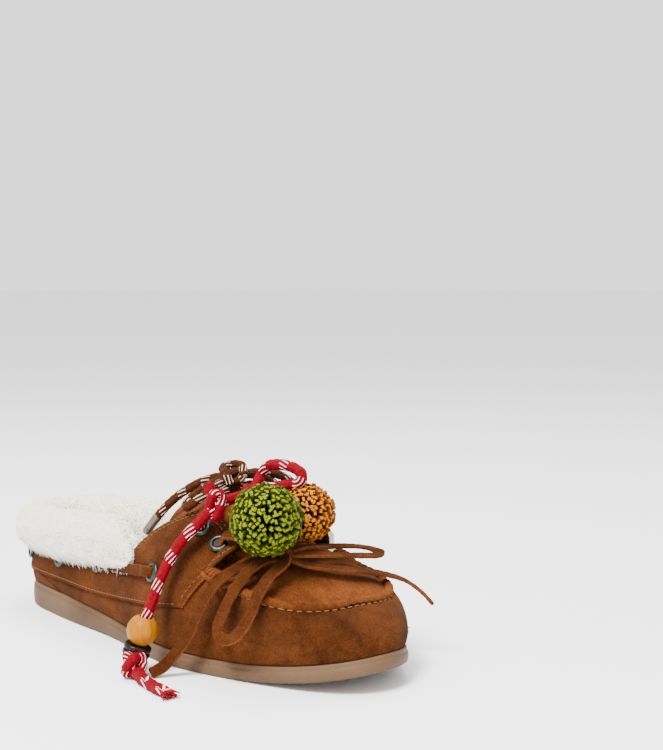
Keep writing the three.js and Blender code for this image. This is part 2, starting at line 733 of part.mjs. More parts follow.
// Suede thong along each side, lying on the band between its third and fourth eyelets.
function sideThong(side, grow = 0) {
  const start = EYELETS[2];
  const end = EYELETS[3];
  const length = end.x - start.x;
  const room = (EYELET_OUTER_RADIUS + GAP) / length;
  const points = [];
  for (let i = 0; i <= 6; i += 1) {
    const k = mix(room, 1 - room, i / 6);
    const lift = BAND_PROUD + 2 * GAP + THONG_THICKNESS / 2;
    points.push(onLast(side, mix(start.x, end.x, k), mix(start.t, end.t, k), lift));
  }
  return strip(points, OUTWARD[side], OUTWARD[side], grow);
}
addPiece('side_thong_lateral', sideThong('lateral'), SUEDE);
addPiece('side_thong_medial', sideThong('medial'), SUEDE);
const thongRoom = [sideThong('lateral', GAP), sideThong('medial', GAP)];
addPiece('fur_collar', clearOf(furCollar(), thongRoom), FLEECE);

// Suede wraps round each end of the raised seam.
const WRAP_ANGLE = { lateral: SEAM_END_ANGLE + 0.05, medial: -SEAM_END_ANGLE - 0.05 };
function seamWrap(side) {
  const centre = shoulderPoint(WRAP_ANGLE[side]);
  const outward = OUTWARD[side].clone().multiplyScalar(SEAM_RIDGE_RADIUS + 2.2);
  return lump(centre.add(outward), [3.4, 1.4, 3]);
}
addPiece('seam_wrap_lateral', seamWrap('lateral'), SUEDE);
addPiece('seam_wrap_medial', seamWrap('medial'), SUEDE);

// Thong bow on the plug: two bars from the lower facing eyelets to its knot, two loops and two ends.
const BOW_KNOT = at(78, -15, 54);
const BOW_KNOT_SIZE = [4.8, 4.8, 3.6];
const bowKnotRoom = lump(BOW_KNOT, BOW_KNOT_SIZE, GAP);
const THONG_STRANDS = {
  thong_bar_lateral: {
    face: [at(0, -0.6, 0.8), at(0, 0, 1)],
    points: [at(54.5, -29, 59.8), at(60, -26, 60.5), at(67, -20, 58.5), BOW_KNOT],
  },
  thong_bar_medial: {
    face: [at(0, 0.6, 0.8), at(0, 0, 1)],
    points: [at(55, 31, 58.9), at(61, 22, 59.2), at(67, 6, 57.5), at(71, -6, 56.5), BOW_KNOT],
  },
  thong_loop_lateral: {
    face: [at(0.2, -0.6, 0.8), at(0.2, -0.6, 0.8)],
    points: [
      BOW_KNOT, at(78, -24, 54), at(76.5, -34.5, 49.5), at(74, -42, 39.5), at(71.5, -45, 31),
      at(69.5, -46, 24), at(73, -46.5, 21), at(78, -45, 22), at(83, -43.5, 27), at(87, -42, 34),
      at(88, -39, 41.5), at(87, -31, 48.5), at(86.5, -22, 53), BOW_KNOT,
    ],
  },
  thong_end_lateral: {
    face: [at(-0.2, -0.6, 0.8), at(0, -0.6, 0.8)],
    points: [
      BOW_KNOT, at(71.5, -22, 52.5), at(69.5, -34.5, 49.5), at(66, -42.5, 44.5), at(62, -46.5, 37),
      at(58, -48.5, 28), at(53.5, -50, 19), at(48.5, -52.5, 11), at(43.5, -56, 4), at(41, -61, 1.4),
    ],
  },
  thong_loop_medial: {
    face: [at(0, 0, 1), at(0.2, 0, 1)],
    points: [
      BOW_KNOT, at(79, -6, 56), at(80, 10, 54.5), at(79.5, 27, 51.5), at(78.5, 40, 48.5), at(80, 46, 46.5),
      at(84, 47, 45), at(86.5, 42, 45), at(87, 28, 48), at(87, 12, 51), at(86, -5, 54), BOW_KNOT,
    ],
  },
  thong_end_medial: {
    face: [at(0.3, 0, 1), at(0.2, 0.5, 0.8)],
    points: [
      BOW_KNOT, at(87, -10, 50.5), at(92.5, 3, 47.5), at(94, 18, 44.5), at(94.5, 32, 41), at(97, 44, 36.5),
      at(103, 49, 31), at(108, 51, 26),
    ],
  },
};

addPiece('thong_knot', lump(BOW_KNOT, BOW_KNOT_SIZE), SUEDE);
const thongRooms = [bowKnotRoom];
for (const [name, { points, face }] of Object.entries(THONG_STRANDS)) {
  addPiece(name, clearOf(strip(points, ...face), thongRooms), SUEDE);
  thongRooms.push(strip(points, ...face, GAP));
}

// Round brown lace: a bar over the tongue between the upper facing eyelets, and a bow on top.
const LACE_KNOT = at(31, -4, 83.4);
const LACE_KNOT_SIZE = [6.5, 5.5, 3.8];
const laceKnotRoom = lump(LACE_KNOT, LACE_KNOT_SIZE, GAP);

function laceBar(grow) {
  const top = EYELETS[5];
  const lift = BAND_PROUD + EYELET_HEIGHT + LACE_DIAMETER / 2 + 5 * GAP;
  const points = [];
  for (const side of ['lateral', 'medial']) {
    const place = (rise) => onLast(side, top.x - LACE_BAR_BOW * rise, top.t + rise, lift - 6 * rise);
    const run = [0.02, 0.14, 0.28, 0.42].map(place);
    points.push(...(side === 'lateral' ? run : run.reverse()));
  }
  return cord(points, LACE_DIAMETER, grow);
}
addPiece('lace_bar', clearOf(laceBar(0), [laceKnotRoom]), BROWN_LACE);

const LACE_STRANDS = {
  lace_end_lateral: [
    LACE_KNOT, at(23, -8, 82.5), at(17, -13.5, 79.8), at(12.5, -18.5, 76), at(7, -23, 70.5),
    at(2, -26.5, 64), at(-4, -29.5, 55.5),
  ],
  lace_loop_lateral: [
    LACE_KNOT, at(26.5, -13, 80.5), at(24.5, -19.5, 77), at(23.5, -26, 73), at(27.5, -29.5, 71),
    at(31, -26, 74.4), at(31.5, -19, 78), at(31, -12, 81), LACE_KNOT,
  ],
  lace_loop_medial: [
    LACE_KNOT, at(37, 4, 85), at(40, 10, 84.5), at(41, 17, 82.5), at(40, 26, 77.5), at(37, 33, 72),
    at(31, 35, 70), at(27, 31, 73), at(26, 21, 79), at(27.5, 9, 82.5), LACE_KNOT,
  ],
  lace_end_medial: [
    LACE_KNOT, at(20, 2, 82), at(14, 9, 80), at(8, 18, 76), at(3, 26, 69.5), at(-2, 33, 61),
  ],
  lace_lobe: [
    at(36, -10.5, 81), at(34, -11.5, 85), at(29, -9, 87.6), at(28, -3, 88.6), at(32, -0.5, 88.4), at(37.5, -3, 84.5),
  ],
};
addPiece('lace_knot', lump(LACE_KNOT, LACE_KNOT_SIZE), BROWN_LACE);
const laceRooms = [laceKnotRoom, laceBar(GAP)];
for (const [name, points] of Object.entries(LACE_STRANDS)) {
  addPiece(name, clearOf(cord(points, LACE_DIAMETER), laceRooms), BROWN_LACE);
  laceRooms.push(cord(points, LACE_DIAMETER, GAP));
}

// Red cord: a knot near each facing, a standing loop behind the pompoms, and two beaded ends.
const RED_KNOT = at(46.6, -28.2, 74.2);
const RED_KNOT_SIZE = [4.2, 4.2, 7];
const RED_CENTRE = at(49, -8, 77);
const RED_CENTRE_SIZE = [5, 5, 4.8];
const GREEN_CENTRE = at(80, -27, 71.5);
const MUSTARD_CENTRE = at(72, 4, 70);
const LATERAL_STACK = at(33.3, -59.5, 20);
const LATERAL_DISC = at(31.4, -61.4, 11);
const LATERAL_END_KNOT = at(36, -66.4, 6.3);
const MEDIAL_HORN = at(34, 50.5, 40.5);
const MEDIAL_CARVED = at(34.2, 52.4, 25.4);
const MEDIAL_BEAD = at(34.9, 54.2, 14.2);
const MEDIAL_END_KNOT = at(38, 60.5, 6.3);
const END_KNOT_SIZE = [5.6, 5.8, 6];
const redRooms = [lump(RED_KNOT, RED_KNOT_SIZE, GAP), lump(RED_CENTRE, RED_CENTRE_SIZE, GAP)];

// Turned bead on an axis between two places.
function bead(centre, axis, profile, sides = 11) {
  const form = new THREE.LatheGeometry(profile.map(([r, h]) => new THREE.Vector2(r, h)), sides);
  form.applyQuaternion(new THREE.Quaternion().setFromUnitVectors(at(0, 1, 0), axis.clone().normalize()));
  form.translate(centre.x, centre.y, centre.z);
  return form;
}
const roundProfile = (radius, height) => {
  const rows = 4;
  const flat = Math.sqrt(Math.max(0, radius * radius - height * height / 4));
  const tilt = Math.asin(height / 2 / radius);
  const curve = Array.from({ length: rows + 1 }, (_, i) => mix(-tilt, tilt, i / rows));
  const sides = curve.map((a) => [radius * Math.cos(a), radius * Math.sin(a)]);
  return flat > 0.01 ? [[0, -height / 2], ...sides, [0, height / 2]] : sides;
};
const drumProfile = (radius, height, round) => [
  [0, -height / 2],
  [radius - round, -height / 2],
  [radius, round - height / 2],
  [radius, height / 2 - round],
  [radius - round, height / 2],
  [0, height / 2],
];

const lateralAxis = LATERAL_STACK.clone().sub(LATERAL_DISC);
const medialAxis = MEDIAL_HORN.clone().sub(MEDIAL_CARVED);
const beadAxis = MEDIAL_CARVED.clone().sub(MEDIAL_BEAD);
const discStep = lateralAxis.clone().normalize().multiplyScalar((DISC_THICKNESS + GAP) / 2);
const upperDisc = LATERAL_DISC.clone().add(discStep);
const lowerDisc = LATERAL_DISC.clone().sub(discStep);
const discRoom = bead(LATERAL_DISC, lateralAxis, drumProfile(DISC_RADIUS + GAP, 2 * DISC_THICKNESS + 3 * GAP, 0.4));
const amberRoom = bead(LATERAL_STACK, lateralAxis, roundProfile(BEAD_RADIUS + GAP, BEAD_HEIGHT + 2 * GAP));
const hornRoom = bead(MEDIAL_HORN, medialAxis, drumProfile(HORN_RADIUS + GAP, HORN_LENGTH + 2 * GAP, 1));
const chestnutRoom = bead(MEDIAL_BEAD, beadAxis, roundProfile(CHESTNUT_RADIUS + GAP, CHESTNUT_HEIGHT + 2 * GAP));

addPiece('amber_bead', bead(LATERAL_STACK, lateralAxis, roundProfile(BEAD_RADIUS, BEAD_HEIGHT)), AMBER_WOOD);
addPiece('dark_disc_1', bead(upperDisc, lateralAxis, drumProfile(DISC_RADIUS, DISC_THICKNESS, 0.8)), DARK_WOOD);
addPiece('dark_disc_2', bead(lowerDisc, lateralAxis, drumProfile(DISC_RADIUS, DISC_THICKNESS, 0.8)), DARK_WOOD);
addPiece('horn_bead', bead(MEDIAL_HORN, medialAxis, drumProfile(HORN_RADIUS, HORN_LENGTH, 1)), HORN);
addPiece('carved_bead', bead(MEDIAL_CARVED, medialAxis, roundProfile(CARVED_RADIUS, CARVED_HEIGHT)), TAN_WOOD);
addPiece('chestnut_bead', bead(MEDIAL_BEAD, beadAxis, roundProfile(CHESTNUT_RADIUS, CHESTNUT_HEIGHT)), CHESTNUT_WOOD);

addPiece('red_knot_lateral', lump(RED_KNOT, RED_KNOT_SIZE), RED_CORD);
addPiece('red_knot_centre', lump(RED_CENTRE, RED_CENTRE_SIZE), RED_CORD);
addPiece('red_end_knot_lateral', clearOf(lump(LATERAL_END_KNOT, END_KNOT_SIZE), [discRoom]), RED_CORD);
addPiece('red_end_knot_medial', clearOf(lump(MEDIAL_END_KNOT, END_KNOT_SIZE), [chestnutRoom]), RED_CORD);

const RED_STRANDS = {
  red_end_lateral: [
    RED_KNOT, at(45.5, -35.5, 68), at(42.5, -41, 62), at(37, -44.5, 53.5), at(33.6, -48.5, 43.5),
    at(32.6, -53, 33), at(33.3, -57.5, 25), LATERAL_STACK,
  ],
  red_stub: [RED_KNOT, at(44.5, -29, 79.5), at(43, -29.5, 83.5)],
  red_bridge: [RED_KNOT, at(48, -18, 76.5), RED_CENTRE],
  red_loop: [
    RED_CENTRE, at(47, -3, 82.5), at(46, 0, 85), at(50, 0.5, 89.5), at(58, 1, 91), at(67, 1, 90.5),
    at(72.5, 1, 88), at(72.5, 0, 84.5), at(65, -3, 82.5), at(57, -7, 80.5), RED_CENTRE,
  ],
  red_end_medial: [
    RED_CENTRE, at(50.5, 3, 75.5), at(51, 16, 74.5), at(49, 29, 70), at(46, 38.5, 63.5), at(42, 45.5, 57),
    at(36, 49, 52), MEDIAL_HORN,
  ],
};
const RED_TAILS = {
  red_tail_lateral: [LATERAL_END_KNOT, at(44, -68.5, 2.9), at(55, -71, 2.2), at(68, -73, 2.2)],
  red_tail_medial: [MEDIAL_END_KNOT, at(47, 66, 2.9), at(56, 69.5, 2.2), at(65, 73.5, 2.2)],
};
const endKnotRooms = [lump(LATERAL_END_KNOT, END_KNOT_SIZE, GAP), lump(MEDIAL_END_KNOT, END_KNOT_SIZE, GAP)];
const redObstacles = [...redRooms, ...endKnotRooms, amberRoom, hornRoom];
for (const [name, points] of Object.entries(RED_STRANDS)) {
  addPiece(name, clearOf(cord(points, RED_CORD_DIAMETER), redObstacles), RED_CORD);
  redObstacles.push(cord(points, RED_CORD_DIAMETER, GAP));
}
for (const [name, points] of Object.entries(RED_TAILS)) {
  addPiece(name, clearOf(cord(points, RED_TAIL_DIAMETER), endKnotRooms), RED_CORD);
}

// Pompoms: a core with leather strips standing out of it all round, kept clear of the cords.
function pompom(centre, radius, strips, rooms) {
  const core = new THREE.IcosahedronGeometry(radius * 0.8, 1);
  let solid = toSolid(core);
  const golden = Math.PI * (3 - Math.sqrt(5));
  for (let i = 0; i < strips; i += 1) {
    const height = 1 - 2 * (i + 0.5) / strips;
    const ring = Math.sqrt(1 - height * height);
    const way = at(ring * Math.cos(i * golden), ring * Math.sin(i * golden), height);
    const length = radius * mix(0.35, 0.4, scatter(i, 7));
    const leaf = new THREE.BoxGeometry(POMPOM_STRIP_WIDTH, POMPOM_STRIP_THICKNESS, length);
    leaf.rotateZ(Math.PI * scatter(i, 9));
    leaf.applyQuaternion(new THREE.Quaternion().setFromUnitVectors(at(0, 0, 1), way));
    leaf.translate(...way.clone().multiplyScalar(radius - length / 2).toArray());
    solid = solid.add(toSolid(leaf));
  }
  const placed = toGeometry(solid).translate(centre.x, centre.y, centre.z);
  return clearOf(placed, rooms);
}
const fatStrip = ({ points, face }) => strip(points, ...face, 2 * GAP);
const pompomRooms = [
  fatStrip(THONG_STRANDS.thong_bar_lateral),
  fatStrip(THONG_STRANDS.thong_bar_medial),
  fatStrip(THONG_STRANDS.thong_loop_medial),
  cord(RED_STRANDS.red_loop, RED_CORD_DIAMETER, 2 * GAP),
  bowKnotRoom,
];
const greenRoom = lump(GREEN_CENTRE, [POMPOM_RADIUS, POMPOM_RADIUS, POMPOM_RADIUS], 4 * GAP);
addPiece('green_pompom', pompom(GREEN_CENTRE, POMPOM_RADIUS, 30, pompomRooms), GREEN_LEATHER);
addPiece(
  'mustard_pompom',
  pompom(MUSTARD_CENTRE, SMALL_POMPOM_RADIUS, 26, [...pompomRooms, greenRoom]),
  MUSTARD_LEATHER,
);

export default shoe;
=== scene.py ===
import math

import bpy
import numpy as np
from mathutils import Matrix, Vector


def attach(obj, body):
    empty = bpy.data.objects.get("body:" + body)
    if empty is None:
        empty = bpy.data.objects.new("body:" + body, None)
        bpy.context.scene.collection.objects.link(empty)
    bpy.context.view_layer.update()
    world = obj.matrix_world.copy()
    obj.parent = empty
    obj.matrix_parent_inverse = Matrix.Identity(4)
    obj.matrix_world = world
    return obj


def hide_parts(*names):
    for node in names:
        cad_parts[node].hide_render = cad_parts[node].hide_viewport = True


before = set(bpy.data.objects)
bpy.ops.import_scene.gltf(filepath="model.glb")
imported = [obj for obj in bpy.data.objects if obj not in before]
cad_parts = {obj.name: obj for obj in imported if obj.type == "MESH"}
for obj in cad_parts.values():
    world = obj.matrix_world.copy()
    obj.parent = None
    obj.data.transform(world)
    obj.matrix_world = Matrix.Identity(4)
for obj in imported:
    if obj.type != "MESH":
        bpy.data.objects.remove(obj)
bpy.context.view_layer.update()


# The studio: a camera at the photograph's angle to the shoe, a plain pale floor and soft light. The shoe
# stands on the floor at height zero, with its toe towards the right of the picture.
def new_object(name, data):
    """An object that holds a mesh, a light or a camera, linked to the scene."""
    item = bpy.data.objects.new(name, data)
    bpy.context.scene.collection.objects.link(item)
    return item


camera = new_object("camera", bpy.data.cameras.new("camera"))
bpy.context.scene.camera = camera
camera.data.sensor_width = 36
camera.data.lens = 64.1
camera.data.clip_start = 0.05
camera.location = (0.5129, -0.4080, 0.1743)
camera.rotation_euler = (math.radians(90 - 3.92), 0, math.radians(45.82))

floor_mesh = bpy.data.meshes.new("studio_floor")
floor_mesh.from_pydata([(-30, -30, 0), (30, -30, 0), (30, 30, 0), (-30, 30, 0)], [], [(0, 1, 2, 3)])
new_object("studio_floor", floor_mesh)
floor_paint = bpy.data.materials.new("floor_paint")
floor_paint.use_nodes = True
floor_shader = floor_paint.node_tree.nodes["Principled BSDF"]
floor_shader.inputs["Base Color"].default_value = (0.93, 0.93, 0.93, 1)
floor_shader.inputs["Roughness"].default_value = 0.9
floor_mesh.materials.append(floor_paint)

world = bpy.data.worlds.new("studio")
bpy.context.scene.world = world
world.use_nodes = True
background = world.node_tree.nodes["Background"]
background.inputs["Color"].default_value = (1, 1, 1, 1)
background.inputs["Strength"].default_value = 1.75
LIGHT_AIM = (0, 0, 0.04)


def soft_light(name, place, size, power):
    """A square area light at a place in metres, turned to the middle of the shoe."""
    lamp = bpy.data.lights.new(name, "AREA")
    lamp.size = size
    lamp.energy = power
    holder = new_object(name, lamp)
    holder.location = place
    holder.rotation_euler = (Vector(LIGHT_AIM) - Vector(place)).to_track_quat("-Z", "Y").to_euler()


soft_light("key_light", (0.25, -0.75, 1.15), 0.45, 54)
soft_light("top_light", (-0.2, 0.3, 1.3), 0.7, 14)


# Outsole: thin taupe rubber under the whole shoe, cemented to the upper, with a narrow lip round its top
# edge, rounded ground edge and cross grooves for tread. It is a loop of side profiles round the outline.
MM = 0.001
HALF_LENGTH = 129.0
BALL_WIDTH = 86.0
HEEL_RADIUS, TOE_RADIUS = 31.0, 26.0
LATERAL_OUTLINE = [(0.08, 0.298), (0.18, 0.347), (0.40, 0.411), (0.62, 0.510), (0.80, 0.414), (0.93, 0.288)]
MEDIAL_OUTLINE = [(0.08, 0.298), (0.18, 0.347), (0.42, 0.300), (0.72, 0.486), (0.86, 0.455), (0.95, 0.289)]
HEEL_THICKNESS, FOREFOOT_THICKNESS, TOE_SPRING = 13.3, 7.4, 9.5
ARCH_LIFT, SOLE_ROUND, SOLE_LIP = 0.8, 1.6, 2.4
GROOVE_PITCH, GROOVE_DEPTH, TREAD_SPANS = 13, 1.5, ((-113.5, -74.5), (15.5, 106.5))


def along(rows, u):
    """Cubic Hermite curve through rows of (u, value); each slope is the chord between a row's two
    neighbours."""
    at, value = np.array(rows, float).T
    before, after = np.maximum(np.arange(len(at)) - 1, 0), np.minimum(np.arange(len(at)) + 1, len(at) - 1)
    slope = (value[after] - value[before]) / (at[after] - at[before])
    u = np.clip(u, at[0], at[-1])
    i = np.clip(np.searchsorted(at, u, side="right") - 1, 0, len(at) - 2)
    step = at[i + 1] - at[i]
    k = (u - at[i]) / step
    rise = (2 * k**3 - 3 * k**2 + 1) * value[i] + (3 * k**2 - 2 * k**3) * value[i + 1]
    return rise + ((k**3 - 2 * k**2 + k) * slope[i] + (k**3 - k**2) * slope[i + 1]) * step


def smooth(value, low, high):
    """Smoothstep: 0 below low, 1 above high, 3k^2 - 2k^3 between."""
    k = np.clip((value - low) / (high - low), 0, 1)
    return k * k * (3 - 2 * k)


def roundness(rows):
    """Rows of half-width over the sine of the outline angle, so that heel and toe are true arcs."""
    inner = [(u, width * BALL_WIDTH / (2 * math.sqrt(u * (1 - u)))) for u, width in rows]
    return [(0, math.sqrt(HEEL_RADIUS * HALF_LENGTH)), *inner, (1, math.sqrt(TOE_RADIUS * HALF_LENGTH))]


LATERAL_ROUNDNESS, MEDIAL_ROUNDNESS = roundness(LATERAL_OUTLINE), roundness(MEDIAL_OUTLINE)


def length_share(angle):
    """How far along the shoe an outline angle lies, 0 at the heel and 1 at the toe: (1 - cos) / 2."""
    return (1 - np.cos(angle)) / 2


def outline(angle):
    """Plan point at an outline angle: 0 at the heel, pi at the toe, positive on the lateral side."""
    u = length_share(angle)
    k = np.where(np.sin(angle) >= 0, along(LATERAL_ROUNDNESS, u), along(MEDIAL_ROUNDNESS, u))
    return np.stack([HALF_LENGTH * (2 * u - 1), -k * np.sin(angle), np.zeros_like(u)], -1)


def unit(vectors):
    """Vectors brought to length one along the last axis."""
    return vectors / np.maximum(np.linalg.norm(vectors, axis=-1, keepdims=True), 1e-9)


def inset_outline(angle, inset):
    """Outline moved inwards by inset along its plan normal."""
    ahead = unit(outline(angle + 0.01) - outline(angle - 0.01))
    inwards = np.stack([-ahead[..., 1], ahead[..., 0], np.zeros_like(ahead[..., 0])], -1)
    return outline(angle) + inwards * np.asarray(inset)[..., None]


def centre_line(angle, inset):
    """Points halfway between the two sides of the inset outline."""
    return (inset_outline(angle, inset) + inset_outline(-angle, inset)) / 2


def circle(count):
    """Angles in even steps round one turn."""
    return np.linspace(0, 2 * math.pi, count + 1)[:-1]


def spring(u):
    """Height of the sole's underside at a share of the length: flat, then curving up under the toe."""
    return TOE_SPRING * np.maximum(0, (u - 0.72) / 0.28) ** 2


def sole_top(u):
    """Height of the sole's upper face: the underside plus a thickness that falls from heel to forefoot."""
    return spring(u) + HEEL_THICKNESS + (FOREFOOT_THICKNESS - HEEL_THICKNESS) * smooth(u, 0.12, 0.58)


def new_piece(name, points, faces):
    """An object with a mesh of points in mm."""
    mesh = bpy.data.meshes.new(name)
    mesh.from_pydata((points.reshape(-1, 3) * MM).tolist(), [], faces)
    return new_object(name, mesh)


def surface(name, points, ring=False, cap="fan", lengths=None):
    """Closed mesh on a grid of points in mm, rows by columns: columns wrap round, rows wrap too if ring.
    Open rows end in a fan or, on a thin wall, in a strip of faces between its two skins. U is length, V the
    turn."""
    rows, columns = points.shape[:2]
    i, j = np.meshgrid(np.arange(rows if ring else rows - 1), np.arange(columns), indexing="ij")
    i, j = i.ravel(), j.ravel()
    corner_rows, corner_columns = np.stack([i, i + 1, i + 1, i], 1), np.stack([j, j, j + 1, j + 1], 1)
    quads = corner_rows % rows * columns + corner_columns % columns
    flat = points.reshape(-1, 3)
    a, b, c, d = (flat[quads[:, k]] for k in range(4))
    volume = (a * (np.cross(b, c) + np.cross(c, d))).sum()
    lengths = np.linspace(0, 1, rows) if lengths is None else np.asarray(lengths, float)
    lengths = np.append(lengths, lengths[-1] + (lengths[1] - lengths[0]))
    uv = np.stack([lengths[corner_rows], corner_columns / columns], -1)
    faces = quads.tolist()
    if not ring:
        last_row = (rows - 1) * columns
        if cap == "fan":
            ends = [list(range(columns))[::-1], [last_row + k for k in range(columns)]]
        else:
            pairs = [(k, k + 1, columns - 2 - k, columns - 1 - k) for k in range(columns // 2 - 1)]
            ends = [list(p)[::-1] for p in pairs] + [[last_row + k for k in p] for p in pairs]
        faces += [end[::-1] for end in ends]
        uv = np.concatenate([uv.reshape(-1, 2), np.zeros((sum(map(len, ends)), 2))])
    piece = new_piece(name, flat, faces)
    piece.data.uv_layers.new(name="UVMap").data.foreach_set("uv", uv.ravel())
    if volume < 0:
        piece.data.flip_normals()
    piece.data.shade_smooth()
    return piece


def level_row(angle, inset, height):
    """Row of points on the inset outline, set at a height."""
    row = inset_outline(angle, inset)
    row[:, 2] = height
    return row


def tread(x, from_edge):
    """Cross grooves, 0 to 1: one each pitch in two spans of the length, fading out towards the sole's
    edge."""
    groove = np.zeros_like(x)
    for first, final in TREAD_SPANS:
        inside = (x > first - 3) & (x < final + 3)
        across = np.abs((x - first + GROOVE_PITCH / 2) % GROOVE_PITCH - GROOVE_PITCH / 2)
        groove = np.maximum(groove, inside * (1 - smooth(across, 0.9, 1.7)))
    return groove * smooth(from_edge, 8, 10)


def sole_profile(angle):
    """Rows of side profile at outline angles: underside from the middle line out, ground edge a quarter
    round, side bulged by a sine, lip half a millimetre in, and the top back to the middle. Grooves lift the
    underside."""
    u = length_share(angle)
    low = spring(u) + ARCH_LIFT * np.sin(np.pi * np.clip((u - 0.26) / 0.2, 0, 1)) ** 2
    high = sole_top(u)
    middle = centre_line(angle, 3.0)
    points = []
    for share in np.concatenate([np.linspace(0, 0.9, 24), [0.93, 0.96]]):
        point = middle + (inset_outline(angle, SOLE_ROUND) - middle) * share
        from_edge = (1 - share) * np.linalg.norm(outline(angle) - middle, axis=1)
        point[:, 2] = low + GROOVE_DEPTH * tread(point[:, 0], from_edge)
        points.append(point)
    for turn in np.linspace(0, math.pi / 2, 7):
        inset, rise = SOLE_ROUND * (1 - math.sin(turn)), SOLE_ROUND * (1 - math.cos(turn))
        points.append(level_row(angle, inset, low + rise))
    for share in np.linspace(0.15, 1, 7):
        height = low + SOLE_ROUND + (high - SOLE_LIP - low - SOLE_ROUND) * share
        points.append(level_row(angle, -0.25 * math.sin(math.pi * share), height))
    for inset, drop in ((0.25, 2.3), (0.5, 2.05), (0.5, 1.2), (0.55, 0.3), (0.85, 0.05), (1.4, 0)):
        points.append(level_row(angle, inset, high - drop))
    top = middle.copy()
    top[:, 2] = high
    return np.stack([*points, top], 1)


def make_material(name, roughness, **sockets):
    """A material with a Principled shader: its roughness and other constant sockets are set here."""
    material = bpy.data.materials.new(name)
    material.use_nodes = True
    shader = material.node_tree.nodes["Principled BSDF"]
    shader.inputs["Roughness"].default_value = roughness
    for socket, value in sockets.items():
        shader.inputs[socket.replace("_", " ")].default_value = value
    return material, material.node_tree, shader


def add_node(tree, kind, inputs=(), **settings):
    """One shader node; each input is a value or the socket that feeds it."""
    node = tree.nodes.new("ShaderNode" + kind)
    for key, value in settings.items():
        setattr(node, key, value)
    for key, value in dict(inputs).items():
        if isinstance(value, bpy.types.NodeSocket):
            tree.links.new(value, node.inputs[key])
        else:
            node.inputs[key].default_value = value
    return node


def noise(tree, where, scale, detail=4.0, distortion=0.0, roughness=0.5):
    """Noise value from 0 to 1; scale is in cells a metre."""
    inputs = {"Vector": where, "Scale": scale, "Detail": detail, "Distortion": distortion,
              "Roughness": roughness}
    return add_node(tree, "TexNoise", inputs).outputs["Fac"]


def ramp(tree, value, stops):
    """Colour or grey along a value: stops are (place, colour)."""
    node = add_node(tree, "ValToRGB", {"Fac": value})
    for extra in stops[2:]:
        node.color_ramp.elements.new(extra[0])
    for element, (place, colour) in zip(node.color_ramp.elements, stops):
        element.position = place
        element.color = (*colour, 1)
    return node.outputs["Color"]


def mottle(tree, where, scale, detail, dark, light, ends=(0.3, 0.7)):
    """Colour that goes from dark to light as noise goes from one of the ends to the other."""
    return ramp(tree, noise(tree, where, scale, detail), [(ends[0], dark), (ends[1], light)])


def blend(tree, share, first, second, mode="MIX"):
    """Mix of two colours."""
    node = add_node(tree, "Mix", {0: share}, data_type="RGBA", blend_type=mode)
    for key, value in ((6, first), (7, second)):
        if isinstance(value, bpy.types.NodeSocket):
            tree.links.new(value, node.inputs[key])
        else:
            node.inputs[key].default_value = (*value, 1)
    return node.outputs[2]


def times(tree, first, second, share=1.0):
    """One colour multiplied by another, as far as share."""
    return blend(tree, share, first, second, "MULTIPLY")


def paint(tree, shader, colour):
    """The shader's base colour comes from a socket."""
    tree.links.new(colour, shader.inputs["Base Color"])


def bump(tree, shader, height, distance, strength=1.0):
    """Relief from a height value, distance in metres; it adds to any relief already on the shader."""
    node = add_node(tree, "Bump", {"Height": height, "Distance": distance, "Strength": strength})
    if shader.inputs["Normal"].is_linked:
        tree.links.new(shader.inputs["Normal"].links[0].from_socket, node.inputs["Normal"])
    tree.links.new(node.outputs["Normal"], shader.inputs["Normal"])


def object_place(tree):
    """Place on the piece, in metres."""
    return add_node(tree, "TexCoord").outputs["Object"]


def dressed(piece, material, node):
    """A finished piece gets its material and the body it rides on, and the solid it stands for is
    hidden."""
    piece.data.materials.append(material)
    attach(piece, "root")
    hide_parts(node)
    return piece


sole_angles = circle(360)
outsole = surface("rubber_outsole", sole_profile(sole_angles), ring=True)
rubber, tree, shader = make_material("taupe_rubber", 0.6, Specular_IOR_Level=0.16)
where = object_place(tree)
tone = mottle(tree, where, 26, 5, (0.058, 0.0300, 0.0132), (0.100, 0.0550, 0.0280))
fine = mottle(tree, where, 900, 3, (0.92, 0.92, 0.92), (1.04, 1.03, 1.02))
paint(tree, shader, times(tree, tone, fine))
bump(tree, shader, noise(tree, where, 1400, 2), 0.00012)
bump(tree, shader, noise(tree, where, 90, 3), 0.0006, 0.5)
dressed(outsole, rubber, "outsole")


# Insole: a fleece-topped footbed that lies loose on the sole inside the upper. Its top is dished a little
# and its edge is rounded.
GAP, INSOLE_INSET = 0.3, 5.8
INSOLE_PROFILE = [(0, 0), (0.5, 0), (0.985, 0), (1, 0.8), (1, 2.6), (0.985, 4.1), (0.95, 4.8), (0.85, 4.9),
                  (0.6, 4.7), (0.3, 4.6), (0, 4.6)]
insole_edge = inset_outline(sole_angles, INSOLE_INSET)
insole_middle = centre_line(sole_angles, INSOLE_INSET)
insole_rows = []
for share, rise in INSOLE_PROFILE:
    row = insole_middle + (insole_edge - insole_middle) * share
    row[:, 2] = sole_top(length_share(sole_angles)) + GAP + rise
    insole_rows.append(row)
footbed = surface("fleece_footbed", np.stack(insole_rows, 1), ring=True)


def fleece(name, light, shade):
    """Cream pile: colour and relief from noise in curls of a few millimetres, with a soft sheen. The colour
    is
    darker where the relief is low: painted shade in the hollows between curls.
    """
    material, tree, shader = make_material(name, 0.95, Sheen_Weight=0.5, Sheen_Roughness=0.6,
                                           Subsurface_Weight=0.25, Subsurface_Scale=0.003)
    where = object_place(tree)
    curl = noise(tree, where, 320, 4, 1.5)
    broad = mottle(tree, where, 45, 2, (0.97, 0.95, 0.92), (1.0, 1.0, 1.0), (0.35, 0.65))
    # Painted shade: the colour goes from shade in the curls' hollows to light on their tops.
    paint(tree, shader, times(tree, ramp(tree, curl, [(0.25, shade), (0.6, light)]), broad))
    bump(tree, shader, curl, 0.0016)
    return material


